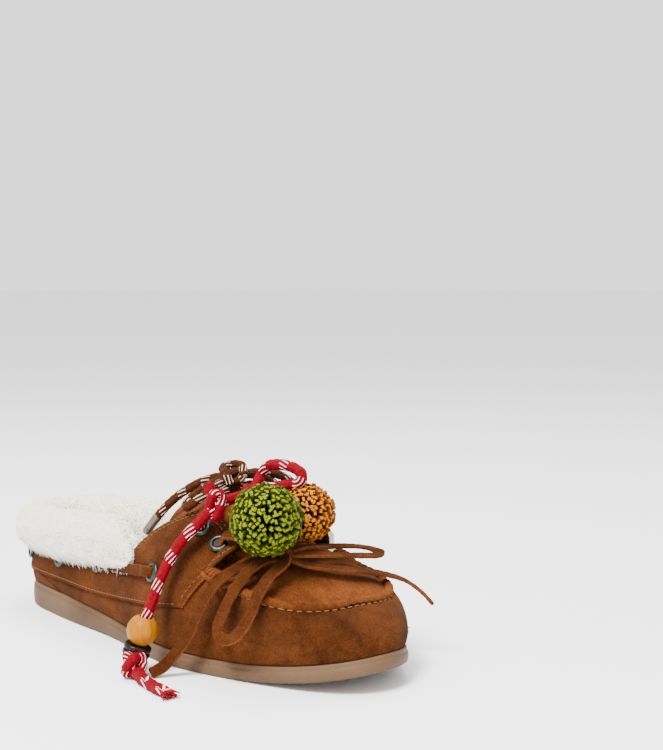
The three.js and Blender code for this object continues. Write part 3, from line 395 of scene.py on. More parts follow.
footbed_fleece = fleece("footbed_fleece", (0.93, 0.88, 0.79), (0.76, 0.69, 0.58))
dressed(footbed, footbed_fleece, "insole")


# Upper: brown suede about 2.4 mm thick, nap side out, lasted over the sole and cemented into its lip. Lower
# wall, moccasin plug, its raised seam, the quarter band with both facings, and a small heel counter.
WALL, FEATHER_INSET = 2.4, 1.2
HEEL_HEIGHT, INSTEP_HEIGHT = 38.0, 76.0
SEAM_END_X, PLUG_LENGTH, PLUG_HALF_WIDTH, PLUG_CENTRE_Y, PLUG_FULLNESS = 54.0, 52.0, 39.0, 1.8, 3.3
SEAM_END_HEIGHT, SEAM_TIP_HEIGHT, MEDIAL_SEAM_DROP = 44.0, 34.8, 1.8
PLUG_CROWN_HEIGHT, PLUG_ARCH = 56.0, 1.7
BAND_PROUD, BAND_BURIED = 1.5, 0.9
LATERAL_INSET = [(0, 0.012), (0.20, 0.020), (0.45, 0.045), (0.60, 0.062), (0.71, 0.075)]
MEDIAL_INSET = [(0, 0.012), (0.20, 0.020), (0.45, 0.030), (0.60, 0.030), (0.71, 0.010)]
SHOULDER_HEIGHT = [(0, 1.0), (0.20, 0.97), (0.45, 1.07), (0.60, 1.14), (0.71, SEAM_END_HEIGHT / HEEL_HEIGHT)]
CROWN = [(0.450, 0.84), (0.475, 0.88), (0.530, 0.95), (0.600, 1.00), (0.645, 0.97), (0.710, 0.82),
         (0.900, 0.78)]
FACING_EDGE = [(0.450, 0), (0.475, 0.18), (0.530, 0.38), (0.600, 0.52), (0.645, 0.62), (0.710, 0.62),
               (0.900, 0.60)]
BAND_FOOT = [(0, 0.50), (0.20, 0.53), (0.35, 0.53), (0.50, 0.61), (0.65, 0.73), (0.75, 0.78)]
SEAM_END_ANGLE = math.acos(-SEAM_END_X / HALF_LENGTH)


def shoulder(angle):
    """Top of the wall. Behind the plug: the outline moved in, at a height from the table. Round the plug: a
    superellipse of half-width 39 and length 52 whose height falls in a straight line to the tip."""
    u = length_share(angle)
    lateral = np.sin(angle) >= 0
    inset = np.where(lateral, along(LATERAL_INSET, u), along(MEDIAL_INSET, u)) * BALL_WIDTH
    rear = inset_outline(angle, inset)
    drop = MEDIAL_SEAM_DROP * smooth(u, 0.5, 0.71)
    rear[..., 2] = along(SHOULDER_HEIGHT, u) * HEEL_HEIGHT - ~lateral * drop
    turn = (np.mod(angle, 2 * math.pi) - math.pi) / (math.pi - SEAM_END_ANGLE)
    c, s = np.cos(turn * math.pi / 2), np.sin(turn * math.pi / 2)
    reach = (np.abs(c) ** PLUG_FULLNESS + np.abs(s) ** PLUG_FULLNESS) ** (-1 / PLUG_FULLNESS)
    height = SEAM_END_HEIGHT + (SEAM_TIP_HEIGHT - SEAM_END_HEIGHT) * c * reach
    front = np.stack([SEAM_END_X + PLUG_LENGTH * c * reach, PLUG_CENTRE_Y + PLUG_HALF_WIDTH * s * reach,
                      height - MEDIAL_SEAM_DROP * np.clip(3 * turn, 0, 1)], -1)
    return np.where((np.cos(angle) < math.cos(SEAM_END_ANGLE))[..., None], front, rear)


def last(angle, t, plug=False):
    """Point on the form: t 0 to 1 is a cubic Bezier from the sole's edge to the shoulder, t 1 to 2 an arch
    from the shoulder to the crown over the instep, or to the middle of the plug."""
    angle, t = np.broadcast_arrays(np.asarray(angle, float), np.asarray(t, float))
    u = length_share(angle)
    top = shoulder(angle)
    foot = inset_outline(angle, FEATHER_INSET)
    outward = foot - inset_outline(angle, FEATHER_INSET + 1)
    foot[..., 2] = sole_top(u) + GAP
    climb = top[..., 2] - foot[..., 2]
    lean = np.minimum(0.62 * np.linalg.norm((foot - top)[..., :2], axis=-1), 14)
    low, high = foot + outward * 2.6, top + outward * lean[..., None]
    low[..., 2], high[..., 2] = foot[..., 2] + 0.36 * climb, top[..., 2] - 0.18 * climb
    k = np.clip(t, 0, 1)[..., None]
    wall = (1 - k) ** 3 * foot + 3 * k * (1 - k) ** 2 * low + 3 * k * k * (1 - k) * high + k**3 * top
    climb_turn = (np.clip(t, 1, 2) - 1) * math.pi / 2
    out = np.cos(climb_turn)
    rise = 1 - out**PLUG_ARCH if plug else np.sin(climb_turn)
    crown = PLUG_CROWN_HEIGHT if plug else along(CROWN, u) * INSTEP_HEIGHT
    crown_x = np.minimum(top[..., 0], SEAM_END_X)
    arch = np.stack([crown_x + (top[..., 0] - crown_x) * out,
                     PLUG_CENTRE_Y + (top[..., 1] - PLUG_CENTRE_Y) * out,
                     top[..., 2] + (crown - top[..., 2]) * rise], -1)
    return np.where((t <= 1)[..., None], wall, arch)


def last_normal(angle, t, plug=False):
    """Unit normal of the form from the difference of near points on it."""
    up = last(angle, t + 0.02, plug) - last(angle, np.maximum(0, t - 0.02), plug)
    ahead = last(angle + 0.012, t, plug) - last(angle - 0.012, t, plug)
    return unit(np.cross(ahead, up))


def off_last(angle, t, offset, plug=False):
    """The form's point moved out along its normal by offset."""
    return last(angle, t, plug) + last_normal(angle, t, plug) * np.asarray(offset)[..., None]


def wall_share(angle, height):
    """How far up the wall a height lies, by halving."""
    low, high = np.zeros_like(angle), np.ones_like(angle)
    for _ in range(20):
        middle = (low + high) / 2
        below = last(angle, middle)[..., 2] < height
        low, high = np.where(below, middle, low), np.where(below, high, middle)
    return low


def swell(points, size, seed):
    """Smooth unevenness, mostly from -1 to 1: seven sine waves of about that size, in seeded directions,
    summed and divided by 3.2."""
    rng = np.random.default_rng(seed)
    ways = unit(rng.normal(size=(7, 3)))
    phases = points @ ways.T * (2 * math.pi / (size * rng.uniform(0.7, 1.5, 7))) + rng.uniform(0, 6.28, 7)
    return np.sin(phases).sum(-1) / 3.2


def rounded(distance, radius):
    """How far a round edge has fallen at a distance in from it: a quarter circle of that radius."""
    return radius - np.sqrt(np.maximum(0, radius**2 - (radius - np.clip(distance, 0, radius)) ** 2))


def stretched(tree, where, scale, rotation):
    """Place scaled and turned, so that noise on it runs out into streaks."""
    mapping = add_node(tree, "Mapping", {"Vector": where, "Scale": scale, "Rotation": rotation})
    return mapping.outputs["Vector"]


def uv_place(tree):
    """The piece's two UV values: length along it in mm, and turn round its section from 0 to 1."""
    place = add_node(tree, "SeparateXYZ", {"Vector": add_node(tree, "TexCoord").outputs["UV"]})
    return place.outputs["X"], place.outputs["Y"]


def calc(tree, operation, *values):
    """Result of one Math node."""
    return add_node(tree, "Math", dict(enumerate(values)), operation=operation).outputs[0]


def suede(name, dark, light, nap=1.0, edge=None):
    """Brushed suede: brown mottled at hand, finger and nap scale, paler where the nap is rubbed, with fine
    relief. An edge (start, end, colour) multiplies the tone where the cosine of the turn, without its sign,
    is near 1: on the band this is a thin line of painted shadow along its edges, on the thong paler cut
    edges."""
    material, tree, shader = make_material(name, 0.95, Sheen_Weight=0.03, Sheen_Roughness=0.4,
                                           Specular_IOR_Level=0.03)
    shader.inputs["Sheen Tint"].default_value = (1.0, 0.72, 0.5, 1)
    where = object_place(tree)
    broad = noise(tree, where, 34, 5, 0.6, 0.55)
    stroke = noise(tree, stretched(tree, where, (0.5, 1.0, 0.9), (0.3, 0.5, 0.4)), 190, 6, 1.2, 0.62)
    speck = noise(tree, where, 1500, 3, 0, 0.6)
    mid = tuple((a + b) / 2 for a, b in zip(dark, light))
    tone = ramp(tree, broad, [(0.30, dark), (0.50, mid), (0.72, light)])
    brushed = ramp(tree, stroke, [(0.25, (0.62, 0.58, 0.54)), (0.52, (1, 1, 1)), (0.78, (1.30, 1.32, 1.36))])
    grain = ramp(tree, speck, [(0.32, (0.60, 0.58, 0.56)), (0.68, (1.32, 1.34, 1.36))])
    tone = times(tree, times(tree, tone, brushed, 0.85 * nap), grain, 0.9)
    if edge:
        cosine = calc(tree, "COSINE", calc(tree, "MULTIPLY", uv_place(tree)[1], 2 * math.pi))
        start, end, colour = edge
        rim = ramp(tree, calc(tree, "ABSOLUTE", cosine), [(start, (1, 1, 1)), (end, colour)])
        tone = times(tree, tone, rim)
    paint(tree, shader, tone)
    bump(tree, shader, speck, 0.0004 * nap)
    bump(tree, shader, stroke, 0.0009 * nap, 0.7)
    return material


UPPER_DARK, UPPER_LIGHT = (0.0230, 0.0062, 0.0015), (0.082, 0.0234, 0.0055)
upper_suede = suede("upper_suede", UPPER_DARK, UPPER_LIGHT)
plug_suede = suede("plug_suede", (0.052, 0.0132, 0.0028), (0.142, 0.0400, 0.0092))


def skins(place, rows, columns, out, inner):
    """Grid of a wall: its outer skin across, then its inner skin back. place(row, column, offset) gives
    points; out(row, column) is the outer offset."""
    r, c = np.meshgrid(rows, columns, indexing="ij")
    outer, back = place(r, c, out(r, c)), place(r, c, np.full_like(r, inner))
    return np.concatenate([outer, back[:, ::-1]], 1)


def is_front(angle):
    """True round the plug, ahead of the ends of its seam."""
    return np.cos(angle) < math.cos(SEAM_END_ANGLE)


def wall_place(angle, share, offset):
    """The lower wall: up to the plug's seam in front, and to just under the band's edge behind."""
    return off_last(angle, share * np.where(is_front(angle), 1.0, 0.9), offset)


def wall_offset(angle, share):
    """Slight unevenness of the lasted suede that fades towards the wall's two edges, and under the seam
    puckers of 0.28 mm either way and a groove 0.8 mm deep."""
    point = last(angle, share)
    pucker = 0.28 * np.sin(angle * 74) * smooth(share, 0.72, 0.97) * smooth(-np.cos(angle), 0.42, 0.60)
    groove = 0.8 * np.exp(-((share - 0.965) / 0.03) ** 2) * is_front(angle)
    return 0.45 * swell(point, 34, 3) * smooth(share, 0, 0.3) * smooth(1 - share, 0, 0.2) + pucker - groove


wall_skins = skins(wall_place, circle(480), np.linspace(0, 1, 44), wall_offset, -WALL)
lower_wall = surface("suede_lower_wall", wall_skins, ring=True)
dressed(lower_wall, upper_suede, "upper")

PLUG_TURN = math.pi - SEAM_END_ANGLE


def plug_place(share, column, offset):
    """The plug: from the seam over its arch to near the middle of its rear edge."""
    return off_last(math.pi + share * PLUG_TURN, column, offset, True)


def plug_offset(share, column):
    """Soft dents where the bow pulls the plug, and a shallow crease along the inside of the seam."""
    point = last(math.pi + share * PLUG_TURN, column, True)
    near_bow = np.exp(-((point[..., 0] - 70) ** 2 + (point[..., 1] + 8) ** 2) / 520)
    dents = 0.5 * swell(point, 30, 8) + 0.9 * swell(point * (1.0, 0.4, 1), 13, 4) * near_bow
    crease = 0.5 * np.exp(-((column - 1.07) / 0.035) ** 2)
    return dents * smooth(column, 1.02, 1.2) - crease


plug_rows, plug_columns = np.linspace(-0.995, 0.995, 221), np.linspace(1.0, 1.96, 64)
plug = surface("suede_plug", skins(plug_place, plug_rows, plug_columns, plug_offset, -WALL), cap="strip")
dressed(plug, plug_suede, "upper")


def frames(path):
    """Unit tangents along a path, and lengths from its start."""
    step = np.gradient(path, axis=0)
    length = np.concatenate([[0], np.cumsum(np.linalg.norm(np.diff(path, axis=0), axis=1))])
    return unit(step), length


def spline(points, step):
    """Centripetal Catmull-Rom curve through points in mm, sampled evenly about a step apart."""
    points = np.array(points, float)
    ends = np.concatenate([[2 * points[0] - points[1]], points, [2 * points[-1] - points[-2]]])
    k = np.linspace(0, 1, 61)[:-1, None]
    dense = []
    for a, b, c, d in zip(ends, ends[1:], ends[2:], ends[3:]):
        t0, t1, t2 = (max(math.sqrt(np.linalg.norm(q - p)), 1e-3) for p, q in ((a, b), (b, c), (c, d)))
        leave = ((b - a) / t0 - (c - a) / (t0 + t1) + (c - b) / t1) * t1
        arrive = ((c - b) / t1 - (d - b) / (t1 + t2) + (d - c) / t2) * t1
        dense.append((2 * k**3 - 3 * k**2 + 1) * b + (3 * k**2 - 2 * k**3) * c
                     + (k**3 - 2 * k**2 + k) * leave + (k**3 - k**2) * arrive)
    dense = np.concatenate([*dense, points[-1:]])
    _, run = frames(dense)
    at_run = np.linspace(0, run[-1], max(4, round(run[-1] / step)) + 1)
    return np.stack([np.interp(at_run, run, dense[:, axis]) for axis in range(3)], 1)


def carried_round(path):
    """Side and up directions square to a path, turned as little as may be from straight up at its start."""
    tangent, _ = frames(path)
    ups = [np.array((0.0, 0, 1))]
    for ahead in tangent:
        ups.append(unit(ups[-1] - ahead * (ups[-1] @ ahead)))
    ups = np.array(ups[1:])
    return np.cross(tangent, ups), ups


def round_path(path, side, up, wide, tall):
    """Points round a path: its rows moved by wide along side and by tall along up."""
    return path[:, None] + wide[..., None] * side[:, None] + tall[..., None] * up[:, None]


def bar(name, path, radius, sides, squash=(1.0, 1.0), relief=None):
    """Round or oval bar along a path in mm: points are the path plus radius times (cos, sin) of the turn.
    relief(length, turn) is added to the radius; ends are domed by two smaller rings."""
    tangent, length = frames(path)
    side, high = carried_round(path)
    turn = circle(sides)
    size = np.broadcast_to(np.asarray(radius, float), (len(path),))[:, None]
    size = size + (relief(length[:, None], turn[None]) if relief else 0)
    points = round_path(path, side, high, squash[0] * size * np.cos(turn), squash[1] * size * np.sin(turn))
    domes = []
    for end, way in ((0, -0.3), (-1, 0.3)):
        onward, spread = tangent[end] * way * size[end].mean(), points[end] - path[end]
        domes.append([path[end] + onward * far + spread * near for far, near in ((0.6, 0.85), (1, 0.55))])
    points = np.concatenate([domes[0][::-1], points, domes[1]])
    return surface(name, points, lengths=np.concatenate([[-0.6, -0.3], length, length[-1] + [0.3, 0.6]]))


RIDGE_LIFT, GATHER_WAVE = (0, 0, 0.3), 1.53
ridge_path = shoulder(math.pi + np.linspace(-0.985, 0.985, 420) * PLUG_TURN) + RIDGE_LIFT
seam_ridge = bar("suede_seam_ridge", ridge_path, 2.15, 20, squash=(1.0, 0.95),
                 relief=lambda length, turn: 0.16 * np.sin(length * GATHER_WAVE)
                 + 0.12 * np.sin(length * 0.4))
dressed(seam_ridge, plug_suede, "upper")

# Painted shadow: a thin dark suede cord in the groove under the raised seam stands in for the shade under the
# ridge.
shadow_line_angles = math.pi + np.linspace(-0.97, 0.97, 400) * PLUG_TURN
shadow_line_cord = bar("painted_seam_shadow_cord", off_last(shadow_line_angles, 0.957, 0.1), 0.55, 10,
                  relief=lambda length, turn: 0.12 * np.sin(length * GATHER_WAVE + 1.5))
shadow_line_suede = suede("painted_seam_shadow", (0.0080, 0.0024, 0.0009), (0.0200, 0.0060, 0.0020))
dressed(shadow_line_cord, shadow_line_suede, "upper")

LATERAL_FRONT, MEDIAL_FRONT = (108.0, 122.0), (108.0, 117.0)


def band_angle(share, column):
    """Outline angle on the band: share -1 to 1 runs from the medial front edge round the heel to the
    lateral one."""
    foot = np.where(share > 0, LATERAL_FRONT[0], MEDIAL_FRONT[0])
    top = np.where(share > 0, LATERAL_FRONT[1], MEDIAL_FRONT[1])
    return np.sign(share) * np.abs(share) ** 0.9 * np.radians(foot + (top - foot) * column)


def band_reach(share, column):
    """Place on the form under the band: from its lower edge on the wall to its top edge or the facing's
    edge."""
    angle = band_angle(share, column)
    u = length_share(angle)
    low = wall_share(angle, along(BAND_FOOT, u) * HEEL_HEIGHT)
    return angle, low + (1 + along(FACING_EDGE, u) - low) * column


def band_place(share, column, offset):
    """The band lies on the form, offset out along its normal."""
    angle, t = band_reach(share, column)
    return off_last(angle, t, offset)


def band_point(share, column):
    """Point of the form under the band."""
    return last(*band_reach(share, column))


def band_edges(share, column):
    """Distances in mm from the band's lower edge, its top edge and its front edge, along its surface."""
    edges = band_point(share, 0), band_point(share, 1), band_point(np.sign(share + 1e-9), column)
    return [np.linalg.norm(band_point(share, column) - edge, axis=-1) for edge in edges]


def band_offset(share, column):
    """Band thickness 1.5 mm proud, edges rounded, and pressed in 0.25 mm along its two rows of stitching."""
    edge = np.minimum.reduce(band_edges(share, column))
    rows = sum(np.exp(-((edge - row) / 0.6) ** 2) for row in (2.2, 5.0))
    uneven = 0.35 * swell(band_point(share, column), 30, 5) * smooth(edge, 0, 6)
    return BAND_PROUD - rounded(edge, 0.9) - 0.25 * rows + uneven


band_columns = np.unique(np.append(np.linspace(0, 1, 60), [0.004, 0.010, 0.985, 0.992, 0.997]))
front_rows = np.array([0.9965, 0.998, 0.9995])
band_rows = np.unique(np.concatenate([np.linspace(-1, 1, 521), front_rows, -front_rows]))
band_skins = skins(band_place, band_rows, band_columns, band_offset, -BAND_BURIED)
quarter_band = surface("suede_quarter_band", band_skins, cap="strip")
# Painted shadow: the band's suede is darkened in a thin line along its lower and top edges, for the shade
# under them.
band_suede_shaded_edges = suede("band_suede_shaded_edges", UPPER_DARK, UPPER_LIGHT, edge=(0.9985, 0.9997, (0.28, 0.25, 0.22)))
dressed(quarter_band, band_suede_shaded_edges, "upper")

COUNTER_FOOT_TURN, COUNTER_TOP_TURN, COUNTER_HEIGHT = 52, 35, 0.56


def counter_place(share, column, offset):
    """The heel counter: a low curved patch round the heel, from the sole up to under the band."""
    angle = np.radians(share * (COUNTER_FOOT_TURN + (COUNTER_TOP_TURN - COUNTER_FOOT_TURN) * column))
    top = wall_share(angle, HEEL_HEIGHT * COUNTER_HEIGHT)
    return off_last(angle, 0.01 + (top - 0.01) * column, offset)


def counter_offset(share, column):
    """Thickness of the counter, its side edges rounded over the last 0.6 mm."""
    return 0.75 - rounded((1 - np.abs(share)) * 40, 0.6)


counter_rows, counter_columns = np.linspace(-1, 1, 121), np.linspace(0, 1, 20)
counter_skins = skins(counter_place, counter_rows, counter_columns, counter_offset, -BAND_BURIED)
dressed(surface("suede_heel_counter", counter_skins, cap="strip"), upper_suede, "upper")


# Lining: cream fleece cemented inside the wall behind the throat, from just above the footbed to just under
# the wall's top, where the fur collar takes over.
LINING_FRONT_X, LINING_INNER, LINING_OUTER = -20, 4.2, 2.55


def lining_place(angle, share, offset):
    """The lining follows the inside of the wall, from just above the sole to just under its top."""
    return off_last(angle, 0.03 + 0.90 * share, offset)


def lining_offset(angle, share):
    """Inner face of the lining, in from the wall's outside, with soft lumps."""
    return -LINING_INNER + 0.35 * swell(last(angle, share), 7, 9)


lining_angles = np.linspace(-1, 1, 321) * math.acos(-LINING_FRONT_X / HALF_LENGTH)
lining_skins = skins(lining_place, lining_angles, np.linspace(0, 1, 40), lining_offset, -LINING_OUTER)
lining_fleece = fleece("lining_fleece", (0.90, 0.84, 0.74), (0.72, 0.64, 0.53))
dressed(surface("fleece_lining", lining_skins, cap="strip"), lining_fleece, "upper")


# Stitching: pale tan thread along the band's foot, in two rows along its top, up each facing's front and
# under the plug's seam. Each stitch is a small capsule that dips into the suede at both ends. A twisted
# suede edge runs up the front of each facing.
SIDES = {"lateral": 1, "medial": -1}
FIRST_ROW, SECOND_ROW, BAND_RUN, SEAM_ROW = 2.1, 4.6, 128, 0.925
STITCH_RINGS = ((-0.5, 0.35, 0.5), (-0.36, 0.9, 0.12), (0, 1, 0), (0.36, 0.9, 0.12), (0.5, 0.35, 0.5))


def rings_pattern(rings, sides):
    """Faces of a short tube of that many rings and sides, closed by one face at each end."""
    faces = []
    for r in range(rings - 1):
        for k in range(sides):
            a, b = r * sides + k, r * sides + (k + 1) % sides
            faces.append([a, b, b + sides, a + sides])
    return faces + [list(range(sides))[::-1], [(rings - 1) * sides + k for k in range(sides)]]


def many(name, rings, material, node, smooth_faces=True):
    """One mesh of many small closed tubes; rings lists, end to end, arrays (count, sides, 3) in mm."""
    count, sides = rings[0].shape[:2]
    corners = len(rings) * sides
    pattern = rings_pattern(len(rings), sides)
    faces = [[corners * i + corner for corner in face] for i in range(count) for face in pattern]
    piece = new_piece(name, np.stack(rings, 1), faces)
    if smooth_faces:
        piece.data.shade_smooth()
    return dressed(piece, material, node)


def plain_material(name, roughness, scale, detail, dark, light, relief=0, **sockets):
    """A material of one noise in two tones, with relief in metres from the same noise."""
    material, tree, shader = make_material(name, roughness, **sockets)
    grain = noise(tree, object_place(tree), scale, detail)
    paint(tree, shader, ramp(tree, grain, [(0.3, dark), (0.7, light)]))
    if relief:
        bump(tree, shader, grain, relief)
    return material


thread = plain_material("tan_thread", 0.8, 2600, 2, (0.100, 0.044, 0.0160), (0.190, 0.094, 0.037), 0.0002,
                        Specular_IOR_Level=0.05)


def spokes(first, second, turn):
    """Unit spokes at the turns, from two square directions or from rows of them: first cos + second sin."""
    return first[..., None, :] * np.cos(turn)[:, None] + second[..., None, :] * np.sin(turn)[:, None]


def stitches(name, points, normals, length, pitch, radius=0.25):
    """Capsules of six sides along a path of points in mm, one each pitch, lying square to the normals."""
    tangent, run = frames(points)
    at_run = np.arange(pitch, run[-1] - pitch, pitch)
    centre, ahead, up = (np.stack([np.interp(at_run, run, rows[:, k]) for k in range(3)], 1)
                         for rows in (points, tangent, normals))
    ahead = unit(ahead)
    side = unit(np.cross(ahead, up))
    up = np.cross(side, ahead)
    rings = []
    for place, size, sink in STITCH_RINGS:
        middle = centre + ahead * place * length - up * sink * radius * 1.4
        rings.append(middle[:, None] + spokes(up, side, circle(6)) * radius * size)
    many(name, rings, thread, "upper")


def band_stitches(name, share, column):
    """One row of stitches on the band along shares and columns."""
    angle, t = band_reach(share, column)
    stitches(name, off_last(angle, t, BAND_PROUD + 0.02), last_normal(angle, t), 2.2, 3.0)


foot_share = np.linspace(-0.985, 0.985, 900)
band_height = np.linalg.norm(band_point(foot_share, 0.1) - band_point(foot_share, 0), axis=-1) * 10
band_stitches("stitch_row_foot", foot_share, FIRST_ROW / band_height)
for row in (FIRST_ROW, SECOND_ROW):
    for side, sign in SIDES.items():
        run = sign * np.linspace(0.05, 1 - row / BAND_RUN, 400)
        top_strip = np.linalg.norm(band_point(run, 1) - band_point(run, 0.95), axis=-1)
        band_stitches(f"stitch_row_top_{side}_{row:.0f}", run, 1 - 0.05 * row / top_strip)
for side, sign in SIDES.items():
    band_stitches(f"stitch_row_front_{side}", sign * (1 - FIRST_ROW / BAND_RUN), np.linspace(0.07, 0.95, 80))
for side, sign in SIDES.items():
    angle, t = band_reach(sign, np.linspace(0.01, 0.9, 200))
    below = t < 0.99
    edge_line = spline(off_last(angle[below], t[below], 1.0)[::6], 0.3)
    edge_cord = bar(f"front_edge_thread_{side}", edge_line, 0.62, 14,
                    relief=lambda length, turn: 0.16 * np.cos(2 * turn + 3.2 * length))
    dressed(edge_cord, plug_suede, "upper")
seam_angle = math.pi + np.linspace(-0.93, 0.93, 300) * PLUG_TURN
seam_points, seam_normals = off_last(seam_angle, SEAM_ROW, 0.25), last_normal(seam_angle, SEAM_ROW)
stitches("stitch_row_seam", seam_points, seam_normals, 2.7, 4.1, 0.32)


# Tongue: a lightly padded suede flap under the two facings, sewn in behind the plug. Its top edge shows
# between the facings with a turned and stitched rim.
TONGUE_THICKNESS, TONGUE_HALF_WIDTH, TONGUE_BULGE, TONGUE_DIP = 3.0, 28.0, 2.8, 3.5
TONGUE_FRONT_X, TONGUE_TOP_X, RIM_STITCH = 58.0, -3.0, 3.4
TONGUE_LENGTH = TONGUE_FRONT_X - TONGUE_TOP_X


def arch_height(x, y):
    """Height of the form's arch over a plan position behind the plug."""
    side = np.where(y < PLUG_CENTRE_Y, 1, -1)
    top = shoulder(side * np.minimum(np.arccos(np.clip(-x / HALF_LENGTH, -1, 1)), SEAM_END_ANGLE))
    across = np.clip((y - PLUG_CENTRE_Y) / (top[..., 1] - PLUG_CENTRE_Y), -1, 1)
    crown = along(CROWN, x / (2 * HALF_LENGTH) + 0.5) * INSTEP_HEIGHT
    return top[..., 2] + (crown - top[..., 2]) * np.sqrt(1 - across**2)


def tongue_place(s, v, offset):
    """Tongue: s runs from its sewn front edge to its top edge, v across it; offset is added to the height."""
    across = 2 * v - 1
    y = PLUG_CENTRE_Y + across * TONGUE_HALF_WIDTH
    x = TONGUE_FRONT_X + (TONGUE_TOP_X + 12 * across**4 - TONGUE_FRONT_X) * s
    bulge = TONGUE_BULGE * np.maximum(0, 1 - (across / 0.72) ** 2) ** 1.5 * smooth(s, 0, 0.5)
    under = (BAND_BURIED + 4 * GAP) * (1 + 1.3 * across**2)
    height = arch_height(x, y) - under - TONGUE_DIP * (1 - smooth(s, 0, 0.3)) + bulge + offset
    return np.stack([x, y, height], -1)


def tongue_offset(s, v):
    """Round edges of 1.2 mm, a pressed line 3.4 mm in from the top edge, and soft unevenness."""
    rim = (1 - s) * TONGUE_LENGTH
    edge = np.minimum(np.minimum(v, 1 - v) * 2 * TONGUE_HALF_WIDTH, rim)
    pressed = 0.3 * np.exp(-((rim - RIM_STITCH) / 0.7) ** 2)
    return 0.3 * swell(tongue_place(s, v, 0), 17, 21) - rounded(edge, 1.2) - pressed


tongue_rows, tongue_columns = np.linspace(0, 1, 110), np.linspace(0, 1, 90)
tongue_skins = skins(tongue_place, tongue_rows, tongue_columns, tongue_offset, -TONGUE_THICKNESS)
tongue = surface("suede_tongue", tongue_skins, cap="strip")
dressed(tongue, plug_suede, "tongue")
rim_line = tongue_place(1 - RIM_STITCH / TONGUE_LENGTH, np.linspace(0.08, 0.92, 120), 0.05)
stitches("stitch_row_tongue", rim_line, np.tile((0.0, 0, 1), (120, 1)), 2.5, 3.3)


# Fur collar: the shearling lining folded out over the top edge, from one facing round the heel to the
# other. A lumpy pile surface keeps clear of the suede below, and thousands of fine locks of wool stand out
# of it.
FUR_HEIGHT, FUR_SIDE_RISE, FUR_OUTER, FUR_INNER = 19.0, 5.0, 9.0, 13.0
FUR_END_X, FUR_END_LEAN, FUR_END_LIFT = -15.0, 8.0, 3.0
THONG_THICKNESS, STRAP_WIDTH = 1.8, 5.0
FUR_REACH = math.acos(-FUR_END_X / HALF_LENGTH)
FUR_PILE = [(0.74, -0.06), (0.95, 0.07), (1.00, 0.29), (0.90, 0.58), (0.52, 0.86), (-0.05, 1.00),
            (-0.62, 0.88), (-0.95, 0.50), (-1.00, 0.05), (-0.78, -0.42)]
UNDER_FUR, OVER_THONG = -WALL - 5 * GAP, BAND_PROUD + THONG_THICKNESS
FUR_BACK = [(UNDER_FUR, -0.42), (UNDER_FUR, 0.10), (BAND_PROUD + 4 * GAP, 0.10),
            (OVER_THONG + 6 * GAP, 0.02), (OVER_THONG + 11 * GAP, -0.06)]


def fur_line(angle, out, up, fixed):
    """One line of the collar's section along the shoe: out and up are shares of its reach and height, or,
    for the back of the pile, a distance from the suede. Towards its two ends the collar narrows, leans
    ahead and lifts."""
    top = shoulder(angle)
    outward = unit((top - inset_outline(angle, 12.0)) * (1, 1, 0))
    share = np.clip((np.abs(angle) / FUR_REACH - 0.84) / 0.16, 0, 1)
    end = np.sqrt(1 - 0.75 * share**2)
    ahead = np.stack([-outward[:, 1], outward[:, 0], 0 * share], -1) * -np.sign(outward[:, 1:2])
    lift = FUR_END_LIFT * share if up > 0.05 else 0 * share
    if fixed:
        reach, lean, rise = out + 0 * share, 0 * share, up * FUR_HEIGHT + lift
    else:
        high = FUR_HEIGHT + FUR_SIDE_RISE * (3.2 * length_share(angle) - 0.7)
        reach = out * (FUR_OUTER if out > 0 else FUR_INNER) * end
        lean = FUR_END_LEAN * share * max(out, 0)
        rise = up * (high if up > 0 else FUR_HEIGHT + 0 * high)
    rise = rise * (end if up > 0.1 else 1)
    return top + outward * reach[:, None] + ahead * lean[:, None] + rise[:, None] * np.array((0, 0, 1))


def grid_normal(grid):
    """Unit normals of a grid of points: the steps along its columns crossed with those along its rows."""
    return unit(np.cross(np.gradient(grid, axis=1), np.gradient(grid, axis=0)))


fur_angles = np.linspace(-FUR_REACH, FUR_REACH, 421)
pile = np.stack([fur_line(fur_angles, out, up, False) for out, up in FUR_PILE], 1)
beyond = 2 * pile[:, :1] - pile[:, 1:2], 2 * pile[:, -1:] - pile[:, -2:-1]
knots = np.concatenate([beyond[0], pile, beyond[1]], 1)
k = np.linspace(0, 1, 11)[:-1, None]
stretches = []
for p in range(len(FUR_PILE) - 1):
    a, b, c, d = (knots[:, p + step, None] for step in range(4))
    stretches.append(0.5 * (2 * b + (c - a) * k + (2 * a - 5 * b + 4 * c - d) * k**2
                            + (3 * b - a - 3 * c + d) * k**3))
pile = np.concatenate([*stretches, pile[:, -1:]], 1)
pile_columns = pile.shape[1]
pile_share = np.linspace(0, 1, pile_columns)
from_rim = np.minimum(pile_share, 1 - pile_share)
lumps = 0.7 * swell(pile, 18, 41) + 0.4 * swell(pile, 6.5, 42)
pile = pile + grid_normal(pile) * (lumps * smooth(from_rim, 0, 0.08))[..., None]
back = [fur_line(fur_angles, out, up, True) for out, up in FUR_BACK]
corners = [pile[:, -1], *back, pile[:, 0]]
back = [a + (b - a) * k for a, b in zip(corners, corners[1:]) for k in (0, 0.34, 0.67)][1:]
section = np.concatenate([pile, np.stack(back, 1)], 1)
domes = []
for end, step in ((0, section[0] - section[1]), (-1, section[-1] - section[-2])):
    onward = unit(step.mean(0))
    middle = section[end].mean(0)
    turns = np.radians([20, 40, 58, 74, 86])
    domes.append([middle + (section[end] - middle) * math.cos(t) + onward * 4.5 * math.sin(t) for t in turns])
section = np.concatenate([np.stack(domes[0][::-1]), section, np.stack(domes[1])])
pile = section[:, :pile_columns]
pile_normal = grid_normal(pile)
fur_base = surface("fur_pile", section)
collar_fleece = fleece("collar_fleece", (0.98, 0.91, 0.78), (0.90, 0.79, 0.62))
dressed(fur_base, collar_fleece, "fur_collar")

